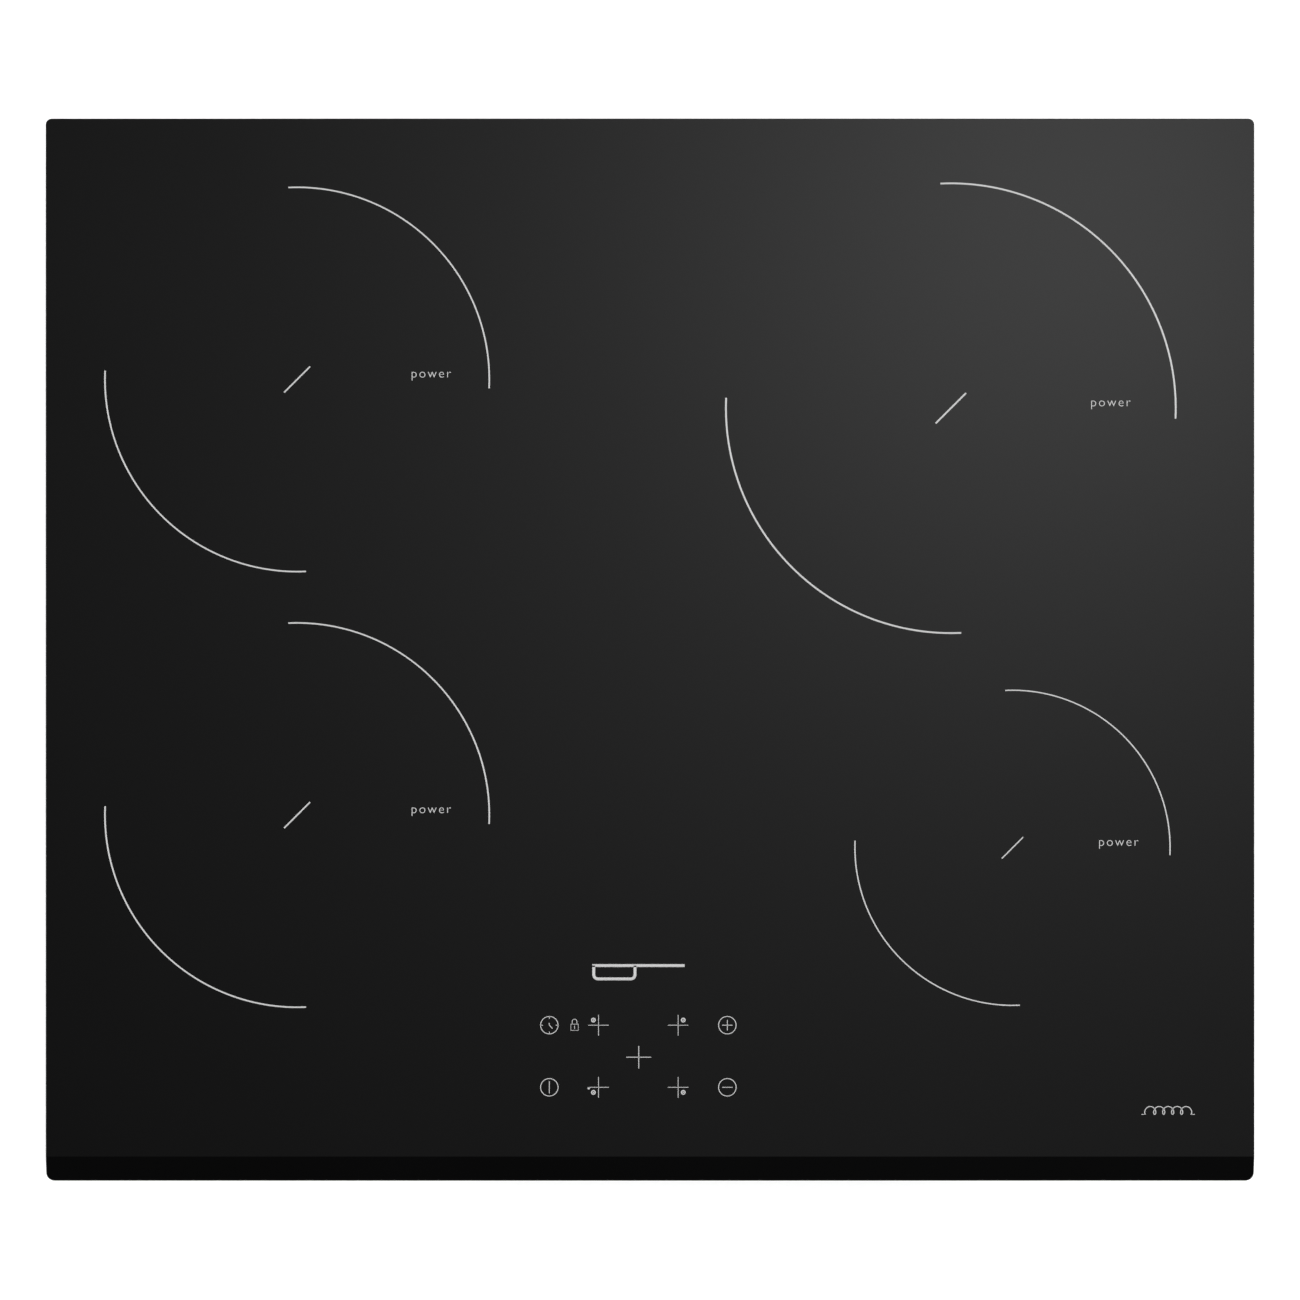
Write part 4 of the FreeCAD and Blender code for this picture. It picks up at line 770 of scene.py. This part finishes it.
hand_tips = ((-0.1, 1.1), (0.0, 0.1), (1.5, -1.65))  # the minute hand, the pivot, the hour hand
clock_marks = [line(*[(-OUTER_X + x, ROW_Y + y) for x, y in hand_tips])]
for turn in range(0, 360, 90):
    a = math.radians(turn)
    ends = [(-OUTER_X + r * math.cos(a), ROW_Y + r * math.sin(a)) for r in (MARK_NEAR, MARK_FAR)]
    clock_marks.append(line(*ends))
round_key("timer_symbol", -OUTER_X, ROW_Y, {FINE: clock_marks})
round_key("on_off_symbol", -OUTER_X, -ROW_Y, {FINE: [bar(-OUTER_X, -ROW_Y, 0.0, POWER_HALF)]})
plus_marks = [bar(OUTER_X, ROW_Y, SIGN_HALF), bar(OUTER_X, ROW_Y, 0.0, SIGN_HALF)]
round_key("plus_symbol", OUTER_X, ROW_Y, {FINE: plus_marks})
round_key("minus_symbol", OUTER_X, -ROW_Y, {FINE: [bar(OUTER_X, -ROW_Y, SIGN_HALF)]})

# %% Lock
LOCK_X, LOCK_Y = -30.6, 13.9  # middle of the padlock's body
LOCK_W, LOCK_H, KEYHOLE = 1.78, 1.5, 0.8  # half sizes
SHACKLE_RADIUS, SHACKLE_LEG = 1.12, 1.25
lock_left, lock_right = LOCK_X - LOCK_W, LOCK_X + LOCK_W
lock_base, lock_top = LOCK_Y - LOCK_H, LOCK_Y + LOCK_H
shackle_y = lock_top + SHACKLE_LEG
symbol("lock_symbol", {
    HAIR: [
        loop((lock_left, lock_base), (lock_right, lock_base), (lock_right, lock_top), (lock_left, lock_top)),
        bar(LOCK_X, LOCK_Y, 0.0, KEYHOLE),
        line((LOCK_X + SHACKLE_RADIUS, lock_top), (LOCK_X + SHACKLE_RADIUS, shackle_y)),
        line((LOCK_X - SHACKLE_RADIUS, lock_top), (LOCK_X - SHACKLE_RADIUS, shackle_y)),
        arc(LOCK_X, shackle_y, SHACKLE_RADIUS, 0, 180, 16),
    ],
})

# %% [markdown]
# Four small crosses stand for the zones, each with a lamp window in the quarter that names its zone. The
# front left one also has a tiny dot at the end of its arm. The larger cross between them divides the four
# displays.

# %% Crosses
INNER_X, CROSS_REACH, LAMP_OFFSET = 19.1, 4.95, 2.45
LAMP_RADIUS, LAMP_RING, LAMP_DOT = 0.88, 0.54, 0.36  # a ring of ink, its width, and the dot's line width
LAMP_DOT_RADIUS = LAMP_DOT * 0.55  # just over half the line's width, so that the ink doesn't fold over
END_DOT_X, END_DOT_Y, END_DOT_RADIUS = 0.25, -0.45, 0.32
for row, sy in (("rear", 1), ("front", -1)):
    for column, sx in (("left", -1), ("right", 1)):
        x, y = sx * INNER_X, sy * ROW_Y
        lamp_x, lamp_y = x + sx * LAMP_OFFSET, y + sy * LAMP_OFFSET
        rings = [arc(lamp_x, lamp_y, LAMP_RADIUS, steps=24)]
        if (row, column) == ("front", "left"):
            rings.append(arc(x - CROSS_REACH + END_DOT_X, y + END_DOT_Y, END_DOT_RADIUS, steps=12))
        symbol(f"zone_key_{row}_{column}", {
            HAIR: [bar(x, y, 0.0, CROSS_REACH), bar(x, y, CROSS_REACH)],
            LAMP_RING: rings,
            LAMP_DOT: [arc(lamp_x, lamp_y, LAMP_DOT_RADIUS, steps=12)],
        })
CROSS_X, CROSS_Y = 0.2, -0.45
CROSS_HALF_X, CROSS_HALF_Y = 5.95, 5.4
symbol("middle_cross", {
    BOLD: [bar(CROSS_X, CROSS_Y, CROSS_HALF_X), bar(CROSS_X, CROSS_Y, 0.0, CROSS_HALF_Y)],
})

# %% [markdown]
# ## Plain pictograms
#
# In front of the key field, a saucepan in outline says what the surface is for. At the front right corner,
# a row of loops is the common sign for a coil, so for induction.

# %% Pan sign
PAN_Y, PAN_HALF, PAN_STROKE = 40.3, 3.2, 1.4
LID, PAN_BASE, CORNER = PAN_Y + PAN_HALF, PAN_Y - PAN_HALF, 2.0
PAN_LEFT, PAN_RIGHT, HANDLE_END = -21.4, -1.6, 22.2


def quarter(x, y, radius, start):
    """Points round a quarter circle, anticlockwise from the start angle."""
    turns = [math.radians(start + 90 * i / 6) for i in range(7)]
    return [(x + radius * math.cos(t), y + radius * math.sin(t)) for t in turns]


bowl = [(PAN_LEFT, LID)] + quarter(PAN_LEFT + CORNER, PAN_BASE + CORNER, CORNER, 180)
bowl += quarter(PAN_RIGHT - CORNER, PAN_BASE + CORNER, CORNER, 270) + [(PAN_RIGHT, LID)]
lid = line((PAN_LEFT - PAN_STROKE / 2, LID), (HANDLE_END, LID))
symbol("pan_symbol", {PAN_STROKE: [line(*bowl), lid]})

# %% Coil sign
SIGN_X, SIGN_Y, SIGN_STROKE, SIGN_TAIL = 254.2, -26.0, 0.42, 2.0
LOOPS, LOOP_PITCH, LOOP_SWING, LOOP_RISE = 5, 4.3, 1.45, 1.9
LOOP_STEPS = 24
coil_path = []
for i in range(LOOPS * LOOP_STEPS + 1):
    turn = 2 * math.pi * i / LOOP_STEPS - math.pi
    along = (i / LOOP_STEPS - LOOPS / 2) * LOOP_PITCH
    coil_path.append((SIGN_X + along + LOOP_SWING * math.sin(turn), SIGN_Y + LOOP_RISE * math.cos(turn)))
tail_y = coil_path[0][1]
coil_path.insert(0, (coil_path[0][0] - SIGN_TAIL, tail_y))
coil_path.append((coil_path[-1][0] + SIGN_TAIL, tail_y))
symbol("coil_symbol", {SIGN_STROKE: [line(*coil_path)]})

# %% [markdown]
# ## The zone labels
#
# Beside each tick is one small word. Blender's own font makes it: a text object is set to its height,
# extruded by the ink's thickness and turned into a mesh before it is put in its place.

# %% Labels
LABEL_X = {  # from the zone's middle to the label's middle
    "rear_left": 64.4 * MM, "front_left": 64.4 * MM,
    "rear_right": 76.8 * MM, "front_right": 51.0 * MM,
}
LABEL_Y, LABEL_SIZE = 1.6 * MM, 6.3 * MM  # the label lies a little behind the zone's middle
LETTER_SPACING, LETTER_THINNING = 1.22, 0.10 * MM


def label_mesh(word, x, y):
    text = bpy.data.curves.new("label", "FONT")
    text.body, text.size, text.extrude = word, LABEL_SIZE, INK
    text.space_character = LETTER_SPACING
    text.offset = -LETTER_THINNING
    text.resolution_u = 4
    carrier = bpy.data.objects.new("label", text)
    bpy.context.scene.collection.objects.link(carrier)
    graph = bpy.context.evaluated_depsgraph_get()
    mesh = bpy.data.meshes.new_from_object(carrier.evaluated_get(graph))
    bpy.data.objects.remove(carrier)
    low, high = (Vector([pick(v.co[i] for v in mesh.vertices) for i in range(3)]) for pick in (min, max))
    mesh.transform(Matrix.Translation(Vector((x, y, ink_z)) - (low + high) / 2))
    print("label width", round((high.x - low.x) / MM, 1), "mm")
    mesh.materials.clear()
    mesh.materials.append(finishes["print_enamel"])
    return mesh


for zone, (x, y, _) in zones.items():
    mesh = label_mesh("power", x + LABEL_X[zone], y + LABEL_Y)
    piece(new_object(f"label_{zone}", mesh), "hob", "print_enamel")

# %% [markdown]
# ## Coils
#
# The real winding is one long bundle of strands laid in a flat spiral. Curve Spiral gives the path and
# Curve to Mesh sweeps a round section along it. The same tree, with a height and no change of radius, is a
# spring, and Instance on Points puts one at each place.

# %% Spiral tree
def spiral_recipe():
    sizes = dict.fromkeys(("Turns", "Inner", "Outer", "Rise", "Wire"), "float")
    recipe = Recipe("wound_wire", **sizes, Steps="int", Sides="int")
    shape = {
        "Resolution": recipe["Steps"], "Rotations": recipe["Turns"], "Height": recipe["Rise"],
        "Start Radius": recipe["Inner"], "End Radius": recipe["Outer"],
    }
    path = recipe.node("GeometryNodeCurveSpiral", None, shape)
    wire = recipe.swept(path, recipe.circle(recipe["Sides"], recipe["Wire"]))
    each = recipe.node("GeometryNodeInstanceOnPoints", None, {"Points": recipe["Geometry"], "Instance": wire})
    return recipe.finish(each)


wound_wire = spiral_recipe()
print("wire tree inputs:", list(wound_wire.sockets))

# %% Windings
WINDING_INNER, WINDING_PITCH = 20.0 * MM, 3.6 * MM
WIRE_SHARE = 0.49  # wire radius over pitch, just under a half, so that neighbouring turns stay apart
for zone, (x, y, radius) in zones.items():
    low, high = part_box(f"coil_winding_{zone}")
    middle_z, half_height = (low.z + high.z) / 2, (high.z - low.z) / 2
    outer = radius - COIL_INSET
    turns = int((outer - WINDING_INNER) / WINDING_PITCH)
    wire = (outer - WINDING_INNER) / turns * WIRE_SHARE
    values = {
        "Turns": float(turns - 1), "Inner": WINDING_INNER + wire, "Outer": outer - wire, "Rise": 0.0,
        "Wire": wire, "Steps": 72, "Sides": 12,
    }
    place = line_mesh([([(x, y, middle_z)], False)])
    mesh = baked(wound_wire, finishes["copper_litz"], place, values)
    fitted = Matrix.Translation((0, 0, middle_z)) @ Matrix.Diagonal((1, 1, half_height / wire, 1))
    mesh.transform(fitted @ Matrix.Translation((0, 0, -middle_z)))
    piece(new_object(f"winding_{zone}", mesh), "hob", "copper_litz", f"coil_winding_{zone}")

# %% Springs
SPRING_TURNS = 5.5


def springs(name, node, slot, wire):
    boxes = lumps(node)
    low, high = boxes[0]
    radius = (high.x - low.x) / 2 - wire
    points = [((a.x + b.x) / 2, (a.y + b.y) / 2, a.z + wire) for a, b in boxes]
    values = {
        "Turns": SPRING_TURNS, "Inner": radius, "Outer": radius, "Rise": high.z - low.z - 2 * wire,
        "Wire": wire, "Steps": 24, "Sides": 8,
    }
    mesh = baked(wound_wire, finishes[slot], line_mesh([([p], False) for p in points]), values)
    piece(new_object(name, mesh), "hob", slot, node)


springs("coil_spring_set", "coil_springs", "spring_wire", 0.45 * MM)
springs("key_spring_set", "touch_springs", "key_contact", 0.30 * MM)

# %% [markdown]
# ## Wound chokes
#
# A choke is a ferrite ring with wire wound through it. The core is a lathe form, made here by sweeping a
# rounded section round a circle, and the winding is one short loop of wire repeated round the ring: points
# on a circle, each turned to face along it, with a loop instanced on each.

# %% Choke tree
def choke_recipe():
    recipe = Recipe("choke_winding", Ring="float", Loop="float", Wire="float", Count="int", Place="vector")
    ring = recipe.circle(recipe["Count"], recipe["Ring"])
    wire = recipe.swept(recipe.circle(16, recipe["Loop"]), recipe.circle(6, recipe["Wire"]), caps=False)
    tangent = recipe.node("GeometryNodeInputTangent")
    turned = recipe.node("FunctionNodeAlignRotationToVector", {"axis": "Z"}, {"Vector": tangent})
    inputs = {"Points": ring, "Instance": wire, "Rotation": turned}
    loops = recipe.node("GeometryNodeInstanceOnPoints", None, inputs)
    placed = recipe.node("GeometryNodeTransform", None, {"Geometry": loops, "Translation": recipe["Place"]})
    return recipe.finish(placed)


def ring_mesh(ring, section, place, material, around=48, sides=12):
    """A closed ring with a round section."""
    bm = bmesh.new()
    for i in range(around):
        for j in range(sides):
            a, b = 2 * math.pi * i / around, 2 * math.pi * j / sides
            out, up = ring + section * math.cos(b), section * math.sin(b)
            bm.verts.new((place.x + out * math.cos(a), place.y + out * math.sin(a), place.z + up))
    bm.verts.ensure_lookup_table()
    for i in range(around):
        for j in range(sides):
            near, far = i * sides, (i + 1) % around * sides
            k = (j + 1) % sides
            bm.faces.new([bm.verts[n] for n in (near + j, far + j, far + k, near + k)])
    for face in bm.faces:
        face.smooth = True
    mesh = bpy.data.meshes.new("ring")
    bm.to_mesh(mesh)
    bm.free()
    mesh.materials.append(material)
    return mesh


# %% Chokes
choke_winding = choke_recipe()
CHOKE_WIRE = 0.55 * MM  # radius of the wire
WIRE_SPACING = 2.1 * CHOKE_WIRE  # from one loop to the next, round the inside of the ring
cores, windings = [], []
for low, high in lumps("toroid_chokes"):
    place = (low + high) / 2
    section = (high.z - low.z) / 2
    ring = (high.x - low.x) / 2 - section
    core = section - 2 * CHOKE_WIRE
    cores.append(ring_mesh(ring, core, place, finishes["ferrite"]))
    count = int(2 * math.pi * (ring - section) / WIRE_SPACING)
    values = {"Ring": ring, "Loop": section - CHOKE_WIRE, "Wire": CHOKE_WIRE, "Count": count, "Place": place}
    windings.append(baked(choke_winding, finishes["choke_copper"], bpy.data.meshes.new("none"), values))
core_set = new_object("choke_cores", joined(cores, finishes["ferrite"]))
piece(core_set, "hob", "ferrite", "toroid_chokes")
wound = new_object("choke_windings", joined(windings, finishes["choke_copper"]))
piece(wound, "hob", "choke_copper", "toroid_chokes")

# %% [markdown]
# ## Floor and sky
#
# The floor is plain and pale. It glows a little, as the white table of a product studio does, so the
# ground stays white round the object. Its underside is clear, so the hob can be seen from below. It lies
# below the lowest reach of the terminal cover, which opens downwards.
#
# The sky decides the look of the glass: seen from above, the plate mirrors only a small patch of sky round
# the zenith. A soft bright spot a little to the right and behind gives the glass its sheen, and the rest
# of the upper sky is dark, so the front facet, which mirrors the sky further forward, goes almost black.
# Towards the horizon the sky turns pale for the side views.

# %% Floor
FLOOR_DROP = 45 * MM  # from the case's feet down to the floor
FLOOR_HALF = 12.0
FLOOR_GLOW, FAR_GLOW = 0.49, 0.80  # emission near the hob, and the share of it that is left far away
floor_z = cad_box[0][2] - FLOOR_DROP


def floor_material():
    pale = Finish("floor", {"Roughness": 0.9, "Emission Strength": FLOOR_GLOW})
    mottle = pale.noise(3.0, 3.0)
    pale.feed("Base Color", pale.between(mottle, (0.80, 0.80, 0.80), (0.84, 0.84, 0.84)))
    away = pale.node("ShaderNodeVectorMath", {"operation": "LENGTH"}, {0: pale.place}, "Value")
    lit = pale.spread(away, 0.5, 4.0, 1.0, FAR_GLOW)
    pale.feed("Emission Color", pale.between(lit, (0, 0, 0), (1, 1, 1)))
    underneath = pale.node("ShaderNodeNewGeometry", out="Backfacing")
    clear = pale.node("ShaderNodeBsdfTransparent")
    mixed = pale.node("ShaderNodeMixShader", None, {0: underneath, 1: pale.shader, 2: clear})
    pale.node("ShaderNodeOutputMaterial", {"is_active_output": True}, {"Surface": mixed})
    return pale.material


corners = [(sx * FLOOR_HALF, sy * FLOOR_HALF, floor_z) for sx, sy in ((-1, -1), (1, -1), (1, 1), (-1, 1))]
floor_mesh = bpy.data.meshes.new("floor")
floor_mesh.from_pydata(corners, [], [(0, 1, 2, 3)])
floor_mesh.materials.append(floor_material())
new_object("floor", floor_mesh)
print("floor at", round(floor_z, 4))

# %% Sky
SPOT_X, SPOT_Y, SPOT_WIDTH, SPOT_GLOW = 0.134, 0.138, 0.146, 1.20  # sideways distances per unit of height
# (height, glow) from the horizon to the zenith
SKY_STOPS = [(0.0, 0.66), (0.10, 0.60), (0.28, 0.46), (0.55, 0.30), (0.80, 0.0)]
JUST_ABOVE_HORIZON = 0.001  # keeps the division by height finite

world = bpy.data.worlds.new("studio")
bpy.context.scene.world = world
world.use_nodes = True
world.node_tree.nodes.clear()
sky = Graph(world.node_tree)
direction = sky.node("ShaderNodeTexCoord", out="Generated")
parts = sky.node("ShaderNodeSeparateXYZ", None, {0: direction})
up = parts.also("Z")
height = up.math("MAXIMUM", up, JUST_ABOVE_HORIZON)
across = (parts.also("X") / height - SPOT_X) / SPOT_WIDTH
back = (parts.also("Y") / height - SPOT_Y) / SPOT_WIDTH
spot = SPOT_GLOW / (across * across + back * back + 1)
stops = [(position, (glow,) * 3) for position, glow in SKY_STOPS]
upper_sky = sky.node("ShaderNodeValToRGB", {"stops": stops}, {"Fac": up})
background = sky.node("ShaderNodeBackground", None, {"Color": (1, 1, 1, 1), "Strength": spot + upper_sky})
sky.node("ShaderNodeOutputWorld", None, {"Surface": background})
print("sky ready")

# %% [markdown]
# ## Lamps and camera
#
# Two large soft lamps stand low at the sides, outside the cone that the glass mirrors to the camera, and
# light the print and the case. The camera looks straight down from 1.6 m with the back of the hob up.

# %% Lamps
LAMP_WIDTH, LAMP_HEIGHT = 2.2, 1.32


def soft_lamp(name, place, watts):
    """A large soft rectangle of light that faces the hob."""
    lamp = bpy.data.lights.new(name, "AREA")
    lamp.shape, lamp.size, lamp.size_y, lamp.energy = "RECTANGLE", LAMP_WIDTH, LAMP_HEIGHT, watts
    thing = bpy.data.objects.new(name, lamp)
    thing.location = place
    thing.rotation_euler = (-Vector(place)).to_track_quat("-Z", "Y").to_euler()
    bpy.context.scene.collection.objects.link(thing)


soft_lamp("left_lamp", (-2.4, -0.4, 1.7), 62)
soft_lamp("right_lamp", (2.4, 0.5, 1.9), 69)

# %% Camera
CAMERA_HEIGHT = 1.6
VIEW_MARGIN = 1.0753  # width of the picture over width of the glass
camera_data = bpy.data.cameras.new("camera")
camera_data.lens = camera_data.sensor_width * CAMERA_HEIGHT / (VIEW_MARGIN * (glass_high.x - glass_low.x))
camera = bpy.data.objects.new("camera", camera_data)
camera.location = (0.0, 0.0, glass_high.z + CAMERA_HEIGHT)
bpy.context.scene.collection.objects.link(camera)
bpy.context.scene.camera = camera
bpy.context.scene.view_settings.view_transform = "Standard"
print("lens", round(camera_data.lens, 1), "mm")
